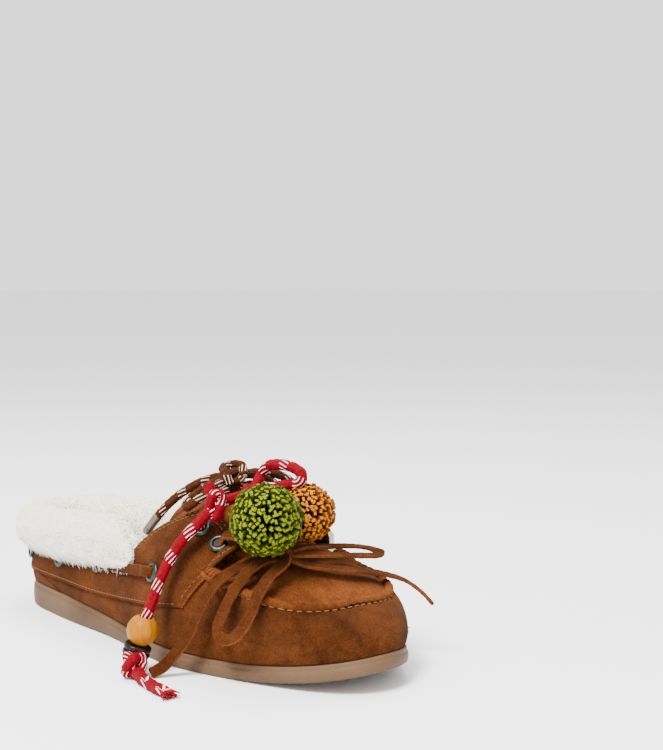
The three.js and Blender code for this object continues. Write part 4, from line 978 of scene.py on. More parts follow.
wool, tree, shader = make_material("wool_locks", 0.9, Sheen_Weight=0.5, Sheen_Roughness=0.5,
                                   Subsurface_Weight=0.3, Subsurface_Scale=0.003)
where = object_place(tree)
tip = add_node(tree, "Attribute", attribute_name="tip").outputs["Fac"]
streak = mottle(tree, where, 260, 3, (0.97, 0.94, 0.90), (1.0, 1.0, 0.99), (0.3, 0.65))
tone = ramp(tree, tip, [(0.0, (0.95, 0.86, 0.71)), (0.4, (0.98, 0.91, 0.77)), (1.0, (1.0, 0.935, 0.80))])
paint(tree, shader, times(tree, tone, streak))
bump(tree, shader, noise(tree, where, 1800, 2), 0.0002)


def mark_corners(piece, name, values):
    """A value on every corner of the piece's mesh, for its material to read."""
    layer = piece.data.attributes.new(name, "FLOAT", "POINT")
    layer.data.foreach_set("value", np.asarray(values, np.float32))


def square_way(way, other):
    """Unit directions square to way and to other."""
    return unit(np.cross(way, other))


def wool_locks(name, columns, count, seed, lengths, radius, hang):
    """Locks on the pile between two columns: three-sided spikes of two joints that lean away from the
    crest, hang down by a share, and curl by chance. Places are drawn in proportion to the area of the
    pile's cells."""
    rng = np.random.default_rng(seed)
    low, high = columns
    along_pile, across_pile = np.gradient(pile, axis=0), np.gradient(pile, axis=1)
    cell = np.linalg.norm(along_pile, axis=-1) * np.linalg.norm(across_pile, axis=-1)
    weight = np.cumsum(cell[:, low:high].ravel())
    pick = np.searchsorted(weight, rng.uniform(0, weight[-1], count))
    i, j = np.unravel_index(np.minimum(pick, weight.size - 1), (len(pile), high - low))
    j = j + low
    from_crest = pile_share[j] * 9 / 5 - 1
    flow = unit(across_pile[i, j]) * np.clip(from_crest * 1.1, -1, 1)[:, None]
    at_rim = (1 - smooth(pile_share[j], 0.02, 0.16))[:, None]
    chance = rng.normal(size=(count, 3)) * 0.20
    way = unit(pile_normal[i, j] * 0.85 + flow * 0.75 + chance + at_rim * (0, 0, -hang))
    size = rng.uniform(*lengths, (count, 1))
    jitter = rng.uniform(-0.5, 0.5, (count, 2))
    root = pile[i, j] - pile_normal[i, j] * 0.8
    root = root + across_pile[i, j] * jitter[:, :1] + along_pile[i, j] * jitter[:, 1:]
    side = square_way(way, rng.normal(size=(count, 3)))
    spoke = spokes(side, np.cross(way, side), circle(3))
    curl = side * rng.normal(size=(count, 1)) * 0.16 + (0, 0, -0.07)
    rings = []
    for place, thick in ((0, 1), (0.55, 0.75), (1, 0.1)):
        middle = root + way * size * place + curl * size * place**2
        rings.append(middle[:, None] + spoke * thick * radius)
    piece = many(name, rings, wool, "fur_collar")
    mark_corners(piece, "tip", np.tile(np.repeat([0, 0.55, 1], 3), count))


crest = pile_columns * 5 // 9
wool_locks("wool_outer_rear", (0, crest), 13500, 51, (2.4, 4.4), 0.60, 0.45)
wool_locks("wool_inner", (crest, pile_columns), 8000, 52, (2.4, 4.4), 0.60, 0)
wool_locks("wool_fringe", (0, 8), 4600, 53, (3.0, 6.8), 0.26, 1.0)


# Eyelets: blackened metal rings rolled over the band's punched holes, four along each side, two on each
# facing.
EYELETS = [(-114, 0.62, 0), (-77, 0.72, 0), (-39, 0.80, 0), (15, 0.87, 0), (51, 1.40, 0.6), (39, 1.43, 0)]


def on_last(side, x, t, offset):
    """Place on the form at a distance along the shoe, on one side, lifted off by offset."""
    return off_last(SIDES[side] * math.acos(-x / HALF_LENGTH), t, offset)


def square_to(axis):
    """A unit axis and two unit directions square to it and to each other."""
    axis = unit(np.asarray(axis, float))
    side = square_way(axis, (0.3, 0.9, 0.1))
    return axis, side, np.cross(axis, side)


def turned(name, centre, axis, profile, sides=40):
    """Turned piece: a closed profile of (radius, height) in mm, swept round an axis through a centre."""
    axis, side, other = square_to(axis)
    spoke = spokes(side, other, circle(sides))
    radius, height = np.array(profile, float).T
    swept = spoke[:, None] * radius[None, :, None] + axis * height[None, :, None]
    return surface(name, np.asarray(centre, float) + swept, ring=True)


metal, tree, shader = make_material("blackened_metal", 0.38, Metallic=1.0)
where = object_place(tree)
paint(tree, shader, mottle(tree, where, 700, 4, (0.020, 0.027, 0.024), (0.060, 0.073, 0.064), (0.35, 0.7)))
bump(tree, shader, noise(tree, where, 2200, 3), 0.00008)
# Painted shade: a dark disc in each ring's hole stands in for the shade inside the hole.
punched = plain_material("painted_hole_shade", 0.95, 900, 3, (0.012, 0.007, 0.004), (0.03, 0.016, 0.009))

RING = [(2.5, 0.1), (4.35, 0.0), (4.6, 0.12), (4.6, 0.38), (4.45, 0.62), (4.1, 0.92), (3.6, 1.08),
        (3.1, 1.08), (2.75, 0.9), (2.6, 0.6), (2.5, 0.3)]
CUP = [(0.05, -0.35), (1.6, -0.35), (2.7, -0.2), (2.75, 0.1), (2.4, 0.16), (1.2, 0.10), (0.05, 0.05)]
for side in SIDES:
    for number, (x, t, lift) in enumerate(EYELETS, 1):
        seat = on_last(side, x, t, BAND_PROUD + 2 * GAP + lift)
        normal = on_last(side, x, t, BAND_PROUD + 5) - seat
        ring = turned(f"eyelet_ring_{side}_{number}", seat, normal, RING)
        dressed(ring, metal, f"eyelet_{side}_{number}")
        hole = turned(f"eyelet_hole_{side}_{number}", seat, normal, CUP, 24)
        dressed(hole, punched, f"eyelet_{side}_{number}")


# Suede thong along each side: it comes up through the band's third eyelet, lies flat on the band and goes
# down through the fourth. A cut strip 5.0 x 1.8 mm with its nap on one face.
OUTWARD = {"lateral": (0, -1, 0.2), "medial": (0, 1, 0.2)}
SIDE_THONG_LIFTS = [(0.0, 1.6), (0.035, 3.4), (0.085, 4.3), (0.16, 3.1), (0.3, 3.0), (0.5, 3.05), (0.7, 3.0),
                    (0.84, 3.1), (0.915, 4.3), (0.965, 3.4), (1.0, 1.6)]


def strap(name, path, width, thickness, face_start, face_end, seed):
    """Cut suede strip along a path in mm: a soft-cornered oblong section, its flat face turned from one
    direction to another. Width and thickness waver by a few hundredths, and the strip cups a little
    across."""
    tangent, length = frames(path)
    k = (length / length[-1])[:, None]
    across = square_way(tangent, np.asarray(face_start, float) * (1 - k) + np.asarray(face_end, float) * k)
    turn = circle(24)
    wide = np.sign(np.cos(turn)) * np.abs(np.cos(turn)) ** 0.22
    high = np.sign(np.sin(turn)) * np.abs(np.sin(turn)) ** 0.28
    waver = (1 + 0.05 * np.sin(length * 0.31 + seed) + 0.03 * np.sin(length * 0.83 + 2 * seed))[:, None]
    cup = -0.18 * np.sin(length * 0.12 + seed)[:, None] * (wide**2 - 0.5)
    tall = high * thickness / 2 * (1 + 0.06 * np.sin(length * 1.3)[:, None]) + cup
    points = round_path(path, across, np.cross(across, tangent), wide * waver * width / 2, tall)
    for row, onward in ((0, -tangent[0]), (-1, tangent[-1])):
        points[row] = path[row] + (points[row] - path[row]) * 0.86 + onward * 0.1
    return surface(name, points, lengths=length)


thong_edge = (0.70, 0.82, (2.1, 2.3, 2.7))
thong_suede = suede("thong_suede", (0.0240, 0.0062, 0.0015), (0.070, 0.0190, 0.0046), 0.8, thong_edge)
for side in SIDES:
    (x0, t0, _), (x1, t1, _) = EYELETS[2:4]
    route = [on_last(side, x0 + (x1 - x0) * k, t0 + (t1 - t0) * k, lift) for k, lift in SIDE_THONG_LIFTS]
    side_thong = strap(f"side_thong_{side}", spline(route, 0.6), STRAP_WIDTH, THONG_THICKNESS, OUTWARD[side],
                       OUTWARD[side], 1.0)
    dressed(side_thong, thong_suede, f"side_thong_{side}")


# Suede wraps round each end of the raised seam: between two and three turns of round thong, and a short end
# tucked in beside them.
WRAP_RADIUS, WRAP_TURNS, WRAP_PITCH, WRAP_START = 3.2, 2.6, 2.3, 0.6


def coil(path, radius, turns, pitch, start):
    """Turns round a short path: a helix of that radius and pitch."""
    side, up = carried_round(path)
    turn = np.linspace(start, start + 2 * math.pi * turns, int(30 * turns))
    along_path = (turn - turn.mean()) / (2 * math.pi) * pitch
    ahead = frames(path)[0].mean(0)
    return path.mean(0) + ahead * along_path[:, None] + spokes(side.mean(0), up.mean(0), turn) * radius


for side, sign in SIDES.items():
    ridge = shoulder(sign * (SEAM_END_ANGLE + 0.05) + np.linspace(-0.02, 0.02, 5)) + RIDGE_LIFT
    helix = coil(ridge, WRAP_RADIUS, WRAP_TURNS, WRAP_PITCH, WRAP_START)
    wrap = bar(f"seam_wrap_{side}", helix, 1.12, 18, squash=(1.0, 0.9))
    dressed(wrap, plug_suede, f"seam_wrap_{side}")
    out = np.array(OUTWARD[side])
    middle = ridge.mean(0) + out * 4.0
    tuck = spline([middle + (-4.2, 0, 1.6), middle + (-1.5, 0, 0.3) + out * 0.7,
                   middle + (1.5, 0, -0.3) + out * 0.7, middle + (4.0, 0, -2.6)], 0.5)
    tucked = bar(f"seam_wrap_tuck_{side}", tuck, 1.05, 16)
    dressed(tucked, plug_suede, f"seam_wrap_{side}")


# Thong bow on the plug: two bars from the lower facing eyelets to a tight knot, two loops and two loose
# ends. The same cut strip throughout, 5.0 x 1.8 mm, limp enough to drape over the vamp.
BOW_KNOT = (78, -15, 54)


def knot(name, centre, size, radius, turned_by=0.0, relief=None, flat=1.0):
    """Tight knot: one strand along a trefoil, ((2+cos 3t)cos 2t, (2+cos 3t)sin 2t, sin 3t)/3, scaled to
    fill the half-sizes, with its flat way turned to the middle of the ring."""
    t = circle(240)
    reach = np.maximum(np.asarray(size, float) - radius, radius * 0.5)
    ring = np.stack([np.cos(2 * t), np.sin(2 * t), 0 * t], 1)
    wave = np.stack([0 * t, 0 * t, np.sin(3 * t)], 1)
    c, s = math.cos(turned_by), math.sin(turned_by)
    about = np.array([(c, s, 0), (-s, c, 0), (0, 0, 1)])
    path = ((ring * ((2 + np.cos(3 * t)) / 3)[:, None] + wave) @ about) * reach
    ahead = unit(np.roll(path, -1, 0) - np.roll(path, 1, 0))
    side = square_way(ahead, (ring * np.cos(3 * t)[:, None] + wave) @ about)
    up = np.cross(side, ahead)
    turn = circle(24)
    run = np.cumsum(np.linalg.norm(np.roll(path, -1, 0) - path, axis=1))
    thick = radius + (relief(run[:, None], turn[None]) if relief else 0 * run[:, None])
    points = round_path(path, side, up, thick * np.cos(turn), thick * flat * np.sin(turn))
    return surface(name, points + np.asarray(centre, float), ring=True, lengths=run)


bow_knot = knot("thong_bow_knot", BOW_KNOT, (5.4, 5.4, 4.2), 2.1, 0.5, flat=0.72)
dressed(bow_knot, thong_suede, "thong_knot")


THONG_BARS = {
    "lateral": (-0.6, [(54.5, -29, 61.4), (60, -26, 61), (67, -20, 58.5), BOW_KNOT]),
    "medial": (0.6, [(55, 31, 60.6), (61, 22, 59.8), (67, 6, 57.5), (71, -6, 56.5), BOW_KNOT]),
}
for side, (lean, points) in THONG_BARS.items():
    route = spline([on_last(side, *EYELETS[4][:2], 1.8), *points], 0.6)
    piece = strap(f"thong_bar_{side}", route, STRAP_WIDTH, THONG_THICKNESS, (0, lean, 0.8), (0, 0, 1), 4.0)
    dressed(piece, thong_suede, f"thong_bar_{side}")

THONG_ROUTES = {
    "thong_loop_lateral": ((0.30, -0.85, 0.45), (0.30, -0.85, 0.45), "object", [
        BOW_KNOT, (78, -24, 54), (76.5, -34.5, 49.5), (74, -42, 39.5), (71.5, -45, 31), (69.5, -46, 24),
        (73, -46.5, 21), (78, -45, 22), (83, -43.5, 27), (87, -42, 34), (88, -39, 41.5), (87, -31, 48.5),
        (86.5, -22, 53), BOW_KNOT]),
    "thong_end_lateral": ((0.05, -0.60, 0.80), (0.35, -0.92, 0.15), "bare", [
        BOW_KNOT, (71.5, -22, 52.5), (69.5, -34.5, 49.5), (66, -42.5, 44.5), (62, -46.5, 37),
        (58, -48.5, 28), (53.5, -50, 19), (48.5, -52.5, 11.4), (43.5, -56, 4.8), (41, -61, 2.2)]),
    "thong_loop_medial": ((0, 0, 1), (0.2, 0, 1), "object", [
        BOW_KNOT, (79, -6, 56), (80, 10, 54.8), (79, 24, 53), (78.5, 34, 51), (80, 39, 49.5),
        (83.5, 40.5, 48.5), (86.5, 36, 48), (87, 25, 49.5), (87, 12, 51.5), (86, -5, 54), BOW_KNOT]),
    "thong_end_medial": ((0.3, 0, 1), (0.2, 0.5, 0.8), "bare", [
        BOW_KNOT, (87, -10, 50.5), (92.5, 3, 47.5), (94, 18, 44.5), (94.5, 32, 41), (97, 44, 36.5),
        (103, 49, 31), (108, 51, 26)]),
}
for seed, (name, (face_start, face_end, far_end, points)) in enumerate(THONG_ROUTES.items()):
    route = spline(points, 0.6)
    piece = strap(name + "_strip", route, STRAP_WIDTH, THONG_THICKNESS, face_start, face_end, seed * 1.7)
    dressed(piece, thong_suede, name)


# Brown lace: round braid 4.2 mm across with pale flecks. A bar over the tongue between the upper facing
# eyelets, and a small bow on top of it with two loops, a lobe and two ends, one of them with a moulded tip.
LACE_DIAMETER, LACE_BAR_BOW, EYELET_HEIGHT = 4.2, 17.0, 1.1
BRAID_STRANDS, LACE_BRAID_PITCH, RED_BRAID_PITCH = 8, 6.5, 8.0


def braid(pitch, height):
    """Relief of a round braid of eight strands: the product of cosines along two opposite helices."""
    def relief(length, turn):
        """Height at a length along the cord and a turn round it."""
        wave = 2 * math.pi * length / pitch
        return height * np.cos(BRAID_STRANDS / 2 * turn + wave) * np.cos(BRAID_STRANDS / 2 * turn - wave)
    return relief


def braid_material(name, dark, light, pale, pitch, band, carriers, slant, rib_shade):
    """Braided cord: two tones of fibre and fine relief. Pale carriers show where slanting bands, one each
    pitch, cross dashes along the cord: fract(u/pitch + 0.06 sin(2 pi v)) < band and
    fract(carriers v + slant u) < 0.25. Ribs, two for each carrier, are darkened by rib_shade over 0.35 of
    their width: painted shade in the grooves between strands."""
    material, tree, shader = make_material(name, 0.85, Sheen_Weight=0.02, Sheen_Roughness=0.4,
                                           Specular_IOR_Level=0.05)
    where = object_place(tree)
    length, turn = uv_place(tree)

    def cycle(first, by, second, factor, limit):
        """1 where the fraction of first by + second factor is under the limit."""
        total = calc(tree, "MULTIPLY_ADD", second, factor, calc(tree, "MULTIPLY", first, by))
        return calc(tree, "LESS_THAN", calc(tree, "FRACT", total), limit)

    swing = calc(tree, "SINE", calc(tree, "MULTIPLY", turn, 2 * math.pi))
    in_band = cycle(length, 1 / pitch, swing, 0.06, band)
    fleck = calc(tree, "MULTIPLY", in_band, cycle(turn, float(carriers), length, slant, 0.25))
    # Painted shade: dark stripes along the ribs stand for the shade in the grooves between strands.
    on_rib = cycle(turn, 2.0 * carriers, length, 2 * slant, 0.35)
    rib = ramp(tree, on_rib, [(0.0, (1, 1, 1)), (1.0, rib_shade)])
    tone = times(tree, mottle(tree, where, 900, 4, dark, light), rib)
    paint(tree, shader, blend(tree, fleck, tone, pale))
    bump(tree, shader, noise(tree, where, 3200, 3), 0.00018)
    return material


lace_braid = braid_material("lace_braid", (0.0230, 0.0064, 0.0018), (0.078, 0.0220, 0.0062),
                            (0.52, 0.43, 0.34), 12.5, 0.34, 7, 0.12, (0.40, 0.34, 0.30))


def braided(name, points, diameter, node, material):
    """Braided round cord along points in mm; returns the piece and its path."""
    route = spline(points, 0.36)
    pitch = LACE_BRAID_PITCH if diameter < 5 else RED_BRAID_PITCH
    piece = bar(name, route, diameter / 2 - 0.06, 32, relief=braid(pitch, 0.16))
    return dressed(piece, material, node), route


LACE_KNOT = (31, -4, 83.4)
lace_knot = knot("lace_bow_knot", LACE_KNOT, (6.8, 5.8, 4.4), 2.1, 0.2, braid(LACE_BRAID_PITCH, 0.14))
dressed(lace_knot, lace_braid, "lace_knot")

LACE_RISES = (0.0, 0.02, 0.14, 0.28, 0.42)
upper_x, upper_t, _ = EYELETS[5]
bar_points = []
for side, rises in (("lateral", LACE_RISES), ("medial", LACE_RISES[::-1])):
    for rise in rises:
        lift = BAND_PROUD + EYELET_HEIGHT + LACE_DIAMETER / 2 + 5 * GAP - 6 * rise - (4.2 if rise == 0 else 0)
        bar_points.append(on_last(side, upper_x - LACE_BAR_BOW * rise, upper_t + rise, lift))
braided("lace_bar_cord", bar_points, LACE_DIAMETER, "lace_bar", lace_braid)

LACE_ROUTES = {
    "lace_end_lateral": ("bare", [
        LACE_KNOT, (23, -8, 82.5), (17, -13.5, 79.8), (12.5, -18.5, 76), (7, -23, 70.5), (2, -26.5, 64),
        (-4, -29.5, 55.5)]),
    "lace_loop_lateral": ("object", [
        LACE_KNOT, (26.5, -13, 80.5), (24.5, -19.5, 77), (23.5, -26, 73), (27.5, -29.5, 71), (31, -26, 74.4),
        (31.5, -19, 78), (31, -12, 81), LACE_KNOT]),
    "lace_loop_medial": ("object", [
        LACE_KNOT, (37, 4, 85), (40, 10, 84.5), (41, 17, 82.5), (40, 26, 77.5), (37, 33, 72), (31, 35, 70),
        (27, 31, 73), (26, 21, 79), (27.5, 9, 82.5), LACE_KNOT]),
    "lace_end_medial": ("bare", [
        LACE_KNOT, (20, 2, 82), (14, 9, 80), (8, 18, 76), (3, 26, 69.5), (-2, 33, 61)]),
}
for name, (far_end, points) in LACE_ROUTES.items():
    piece, route = braided(name + "_cord", points, LACE_DIAMETER, name, lace_braid)
LACE_LOBE = [(36, -10.5, 81), (34, -11.5, 85), (29, -9, 87.6), (28, -3, 88.6), (32, -0.5, 88.4),
             (37.5, -3, 84.5)]
braided("lace_lobe_cord", LACE_LOBE, LACE_DIAMETER, "lace_lobe", lace_braid)

aglet_film = plain_material("aglet_film", 0.35, 800, 3, (0.050, 0.028, 0.018), (0.110, 0.068, 0.045), 0.00015,
                            Coat_Weight=0.4, Coat_Roughness=0.3)
aglet_radius = np.interp(np.linspace(0, 1, 22), [0, 0.04, 0.9, 1], [2.16, 2.28, 2.12, 1.7])
for side in SIDES:
    tail = spline(LACE_ROUTES[f"lace_end_{side}"][1], 0.5)
    tip_path = np.concatenate([tail[-21:], tail[-1:] + (tail[-1] - tail[-2]) * 1.2])
    aglet = bar(f"lace_aglet_{side}", tip_path, aglet_radius, 24)
    dressed(aglet, aglet_film, f"lace_end_{side}")


# Red cord: round braid 5.2 mm across with groups of white dashes. It is knotted at the lateral facing and
# in the middle, stands up in a loop behind the pompoms, and hangs down each side to beads, an end knot and
# a flat tail.
RED_CORD_DIAMETER, RED_TAIL_DIAMETER = 5.2, 4.0
RED_KNOT, RED_CENTRE = (46.6, -28.2, 74.2), (49, -8, 77)
LATERAL_STACK, LATERAL_DISC, LATERAL_END_KNOT = (33.3, -59.5, 20), (31.4, -61.4, 11), (36, -66.4, 6.3)
MEDIAL_HORN, MEDIAL_CARVED, MEDIAL_BEAD = (34, 50.5, 40.5), (34.2, 52.4, 25.4), (34.9, 54.2, 14.2)
MEDIAL_END_KNOT = (38, 60.5, 6.3)

red_braid = braid_material("red_braid", (0.100, 0.0, 0.0030), (0.188, 0.0001, 0.0066), (0.76, 0.58, 0.55),
                           14.5, 0.36, 8, 0.13, (0.82, 0.80, 0.80))
RED_KNOTS = {
    "red_knot_lateral": (RED_KNOT, (5.2, 5.2, 7.6), 2.5, 0.3),
    "red_knot_centre": (RED_CENTRE, (5.8, 5.8, 5.2), 2.5, 1.1),
    "red_end_knot_lateral": (LATERAL_END_KNOT, (6.2, 6.2, 6.0), 2.4, 0.7),
    "red_end_knot_medial": (MEDIAL_END_KNOT, (6.2, 6.2, 6.0), 2.4, 2.0),
}
for name, measures in RED_KNOTS.items():
    piece = knot(name + "_strand", *measures, braid(RED_BRAID_PITCH, 0.16))
    dressed(piece, red_braid, name)


# Beads, all drilled and strung on the red cord. Lateral end: an amber wooden bead and two dark discs.
# Medial end: a horn tube, a tan ball carved with plain rings and dots, and a small chestnut bead.
def ball(radius, height, bore=2.4):
    """Closed profile of a drilled round bead cut flat at its ends: an arc of that radius, then the bore."""
    tilt = math.asin(min(0.98, height / 2 / radius))
    arc = [(radius * math.cos(a), radius * math.sin(a)) for a in np.linspace(-tilt, tilt, 33)]
    edge = arc[-1][0]
    top = [(edge - 0.5, height / 2 - 0.02), (bore + 0.6, height / 2 - 0.15), (bore, height / 2 - 0.7)]
    return [*arc, *top, *[(r, -h) for r, h in top[::-1]]]


def drum(radius, height, round_edge, bore=2.4):
    """Closed profile of a drilled disc or tube with quarter-round edges."""
    turns = np.linspace(0, math.pi / 2, 8)
    top = [(radius - round_edge * (1 - math.cos(t)), height / 2 - round_edge * (1 - math.sin(t)))
           for t in turns]
    side = [(radius, h) for h in np.linspace(-height / 2 + round_edge, height / 2 - round_edge, 9)[1:-1]]
    hole = [(bore + 0.5, height / 2), (bore, height / 2 - 0.5), (bore, 0.5 - height / 2),
            (bore + 0.5, -height / 2)]
    return [*[(r, -h) for r, h in top[::-1]], *side, *top, *hole]


def wood(name, dark, light, roughness, coat):
    """Turned wood: fine streaks along one way, broad tone and pores, under a clear finish."""
    material, tree, shader = make_material(name, roughness, Coat_Weight=coat, Coat_Roughness=0.12,
                                           Specular_IOR_Level=0.08)
    where = object_place(tree)
    streak = noise(tree, stretched(tree, where, (1.0, 1.0, 0.16), (0.3, 0.1, 0)), 420, 5, 0.8)
    cloud = mottle(tree, where, 130, 3, (0.86, 0.84, 0.82), (1.08, 1.08, 1.08))
    tone = times(tree, ramp(tree, streak, [(0.3, dark), (0.66, light)]), cloud)
    paint(tree, shader, tone)
    bump(tree, shader, streak, 0.00012)
    return material, tree, shader, tone


lateral_axis = np.subtract(LATERAL_STACK, LATERAL_DISC)
medial_axis = np.subtract(MEDIAL_HORN, MEDIAL_CARVED)
bead_axis = np.subtract(MEDIAL_CARVED, MEDIAL_BEAD)
disc_step = unit(lateral_axis) * 1.4

amber_wood = wood("amber_wood", (0.235, 0.074, 0.0), (0.335, 0.120, 0.0), 0.34, 0.0)[0]
amber = turned("amber_wooden_bead", LATERAL_STACK, lateral_axis, ball(7.1, 12.4), 64)
dressed(amber, amber_wood, "amber_bead")
dark_wood = wood("dark_wood", (0.006, 0.0026, 0.0020), (0.020, 0.0085, 0.0055), 0.4, 0.1)[0]
for number, step in ((1, disc_step), (2, -disc_step)):
    disc = turned(f"dark_wooden_disc_{number}", LATERAL_DISC + step, lateral_axis, drum(6.2, 2.5, 0.8), 56)
    dressed(disc, dark_wood, f"dark_disc_{number}")

horn_gloss, tree, shader = make_material("horn_gloss", 0.28, Coat_Weight=0.3, Coat_Roughness=0.15,
                                         Subsurface_Weight=0.15, Subsurface_Scale=0.004)
streak = noise(tree, stretched(tree, object_place(tree), (1.0, 1.0, 0.22), (0.1, 0.15, 0)), 260, 4, 1.0)
HORN_STOPS = [(0.30, (0.22, 0.13, 0.06)), (0.45, (0.52, 0.42, 0.29)), (0.70, (0.68, 0.60, 0.47))]
paint(tree, shader, ramp(tree, streak, HORN_STOPS))
bump(tree, shader, streak, 0.00015)
horn = turned("horn_tube_bead", MEDIAL_HORN, medial_axis, drum(7.0, 17.5, 1.1), 64)
dressed(horn, horn_gloss, "horn_bead")

carved_wood, tree, shader, tone = wood("carved_wood", (0.26, 0.094, 0.030), (0.40, 0.175, 0.064), 0.4, 0.1)
mark = add_node(tree, "Attribute", attribute_name="mark").outputs["Fac"]
stain = ramp(tree, mark, [(0.4, (0, 0, 0)), (0.6, (1, 1, 1))])
paint(tree, shader, blend(tree, stain, tone, (0.040, 0.0065, 0.0032)))


def ring_marks(points, axis):
    """Carving on the ball: five circles round its middle, each with a dot, and a line near either end. 1 is
    cut."""
    axis, side, other = square_to(axis)
    ways = unit(points)
    cut = np.abs(np.abs(ways @ axis) - 0.74) < 0.05
    for middle in spokes(side, other, circle(5)):
        away = np.arccos(np.clip(ways @ middle, -1, 1))
        cut |= (np.abs(away - 0.50) < 0.075) | (np.abs(away - 0.27) < 0.055) | (away < 0.10)
    return cut.astype(np.float32)


carved = turned("carved_wooden_ball", MEDIAL_CARVED, medial_axis, ball(6.8, 12.4), 160)
corners = np.empty(len(carved.data.vertices) * 3)
carved.data.vertices.foreach_get("co", corners)
corners = corners.reshape(-1, 3) / MM - MEDIAL_CARVED
cut = ring_marks(corners, medial_axis) * (np.linalg.norm(corners, axis=1) > 6.3)
mark_corners(carved, "mark", cut)
corners *= (1 - 0.035 * cut)[:, None]
carved.data.vertices.foreach_set("co", ((corners + MEDIAL_CARVED) * MM).ravel())
dressed(carved, carved_wood, "carved_bead")
chestnut_wood = wood("chestnut_wood", (0.060, 0.0115, 0.0016), (0.190, 0.046, 0.0050), 0.22, 0.45)[0]
chestnut = turned("chestnut_wooden_bead", MEDIAL_BEAD, bead_axis, ball(5.8, 9.6), 56)
dressed(chestnut, chestnut_wood, "chestnut_bead")

RED_ROUTES = {
    "red_end_lateral": ("knot", "hanging", [
        RED_KNOT, (45.5, -35.5, 68), (42.5, -41, 62), (37, -44.5, 53.5), (33.6, -48.5, 43.5), (32.6, -53, 33),
        (33.3, -57.5, 25), LATERAL_STACK]),
    "red_loop": ("object", "loose", [
        RED_CENTRE, (47, -3, 82.5), (46, 0, 85), (50, 0.5, 89.5), (58, 1, 91), (67, 1, 90.5), (72.5, 1, 88),
        (72.5, 0, 84.5), (65, -3, 82.5), (57, -7, 80.5), RED_CENTRE]),
    "red_end_medial": ("knot", "hanging", [
        RED_CENTRE, (50.5, 3, 75.5), (51, 16, 74.5), (49, 29, 70), (46, 38.5, 63.5), (42, 45.5, 57),
        (36, 49, 52), MEDIAL_HORN]),
}
for name, (far_end, lay, points) in RED_ROUTES.items():
    piece, route = braided(name + "_cord", points, RED_CORD_DIAMETER, name, red_braid)
RED_FIXED = {"red_stub": [RED_KNOT, (44.5, -29, 79.5), (43, -29.5, 83.5)],
             "red_bridge": [RED_KNOT, (48, -18, 76.5), RED_CENTRE]}
for name, points in RED_FIXED.items():
    braided(name + "_cord", points, RED_CORD_DIAMETER, name, red_braid)
RED_BORES = {"lateral": [LATERAL_STACK, LATERAL_DISC, LATERAL_END_KNOT],
             "medial": [MEDIAL_HORN, MEDIAL_CARVED, MEDIAL_BEAD, MEDIAL_END_KNOT]}
for side, points in RED_BORES.items():
    braided(f"red_{side}_bore_cord", points, 4.6, "red_end_" + side, red_braid)

red_fibre = plain_material("red_fibre", 0.85, 1200, 3, (0.15, 0.0004, 0.0024), (0.30, 0.006, 0.012), 0.0001,
                           Specular_IOR_Level=0.15)
RED_TAILS = {"lateral": [LATERAL_END_KNOT, (44, -68.5, 2.9), (55, -71, 2.2), (68, -73, 2.2)],
             "medial": [MEDIAL_END_KNOT, (47, 66, 2.9), (56, 69.5, 2.2), (65, 73.5, 2.2)]}
FRAY_COUNT = 90
UP = np.array((0.0, 0, 1))
for side, points in RED_TAILS.items():
    route = spline(points, 0.36)
    tail = strap(f"red_tail_{side}_cord", route, RED_TAIL_DIAMETER + 0.5, RED_TAIL_DIAMETER, UP, UP, 5.0)
    dressed(tail, red_braid, f"red_tail_{side}")
    rng = np.random.default_rng(61)
    onward = unit(route[-1] - route[-4])
    spread = np.cross(onward, UP)
    offset = rng.uniform(-1, 1, (FRAY_COUNT, 2))
    root = route[-1] - onward * 1.5 + spread * offset[:, :1] * 2.0 + UP * 1.2 * offset[:, 1:]
    way = onward + spread * offset[:, :1] * 0.35 - UP * 0.10 + rng.normal(size=(FRAY_COUNT, 3)) * 0.08
    size = rng.uniform(3.5, 7.0, (FRAY_COUNT, 1))
    triangle = np.array([(0, 1), (0.87, -0.5), (-0.87, -0.5)])
    spoke = spread * triangle[:, :1] + UP * triangle[:, 1:]
    rings = [(root + way * size * place)[:, None] + spoke * thick
             for place, thick in ((0, 0.3), (0.6, 0.24), (1, 0.10))]
    for ring in rings:
        ring[..., 2] = np.maximum(ring[..., 2], 0.15)
    many(f"red_fray_{side}", rings, red_fibre, f"red_tail_{side}")


# Pompoms: hundreds of narrow leather strips tied at the middle and trimmed to a ball, one green and one
# mustard. Strips 1.5 to 2.0 mm wide and about 1.1 mm thick stand along even directions over a sphere, a
# little bent; their cut ends are paler.
def leather_strips(name, base, deep):
    """Dyed leather strips: the tone darkens towards the middle of the ball as painted shade between the
    strips, with fine grain.
    """
    material, tree, shader = make_material(name, 0.62, Specular_IOR_Level=0.10)
    where = object_place(tree)
    reach = add_node(tree, "Attribute", attribute_name="reach").outputs["Fac"]
    # Painted shade: base at the outer end, deep further in and nearly black at half the radius, for the shade
    # between the strips.
    tone = ramp(tree, reach, [(0.5, tuple(0.08 * x for x in deep)), (0.86, deep), (0.99, base)])
    paint(tree, shader, times(tree, tone, mottle(tree, where, 260, 4, (0.72, 0.74, 0.70), (1.2, 1.18, 1.1))))
    bump(tree, shader, noise(tree, where, 2400, 3), 0.0002)
    return material


STRIP_RINGS = ((0.25, 0.42), (0.6, 0.8), (0.85, 1.0), (1.0, 1.02))


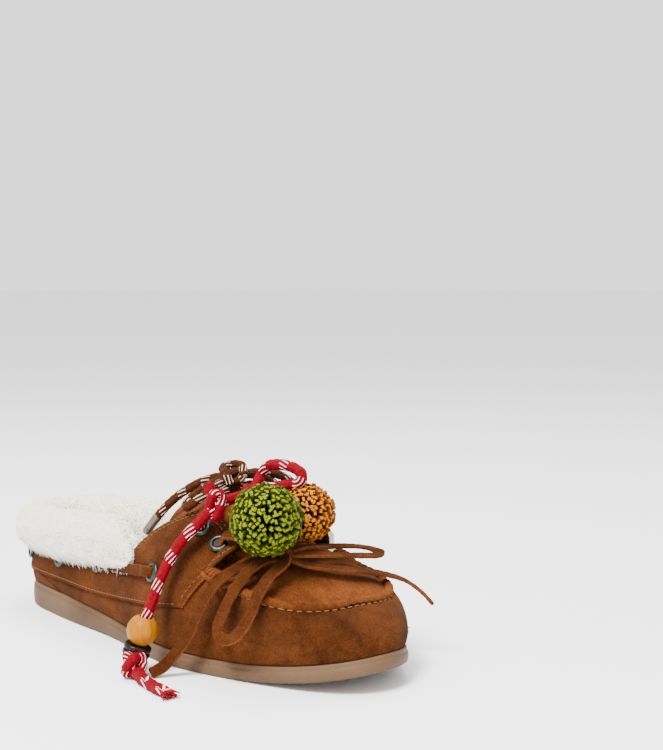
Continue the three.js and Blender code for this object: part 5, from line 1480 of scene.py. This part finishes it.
def pompom(name, centre, radius, count, seed, material, ends, node):
    """Ball of strips: each is a tapered oblong bar of four rings from a quarter of the radius out to the
    surface, bent sideways by up to a tenth of its length and cut square."""
    rng = np.random.default_rng(seed)
    i = np.arange(count)
    height = 1 - 2 * (i + 0.5) / count
    level = np.sqrt(1 - height**2)
    golden = math.pi * (3 - math.sqrt(5))
    way = np.stack([level * np.cos(i * golden), level * np.sin(i * golden), height], 1)
    way = unit(way + rng.normal(size=(count, 3)) * 0.035)
    broad = square_way(way, rng.normal(size=(count, 3)))
    thin = np.cross(way, broad)
    reach = radius * rng.uniform(0.86, 1.0, (count, 1))
    bend = thin * rng.normal(size=(count, 1)) * 0.04 + broad * rng.normal(size=(count, 1)) * 0.02
    wide, thick = rng.uniform(1.5, 2.0, (count, 1)) / 2, rng.uniform(0.95, 1.2, (count, 1)) / 2
    rings = []
    for place, size in STRIP_RINGS:
        middle = np.asarray(centre, float) + way * reach * place + bend * reach * place**2
        a, b = broad * wide * size, thin * thick * size
        rings.append(np.stack([middle - a - b, middle + a - b, middle + a + b, middle - a + b], 1))
    piece = many(name, rings, material, node, False)
    mark_corners(piece, "reach", np.tile(np.repeat([place for place, _ in STRIP_RINGS], 4), count))
    piece.data.materials.append(ends)
    piece.data.polygons.foreach_set("material_index", np.tile([0] * 13 + [1], count).astype(np.int32))


# centre, radius, number of strips, seed, colours of the strips and of their cut ends, each an outer tone and
# a tone of painted shade further in
POMPOMS = {
    "green": ((80, -27, 71.5), 16.6, 680, 71, [(0.047, 0.058, 0.0002), (0.020, 0.030, 0.0003)],
              [(0.122, 0.145, 0.0008), (0.130, 0.155, 0.0020)]),
    "mustard": ((72, 4, 70), 14.2, 520, 72, [(0.225, 0.056, 0.0004), (0.085, 0.020, 0.0004)],
                [(0.385, 0.124, 0.0018), (0.300, 0.095, 0.0030)]),
}
for name, (centre, radius, count, seed, tones, end_tones) in POMPOMS.items():
    leather = leather_strips(f"{name}_leather", *tones)
    ends = leather_strips(f"{name}_cut_ends", *end_tones)
    pompom(f"{name}_strip_ball", centre, radius, count, seed, leather, ends, f"{name}_pompom")
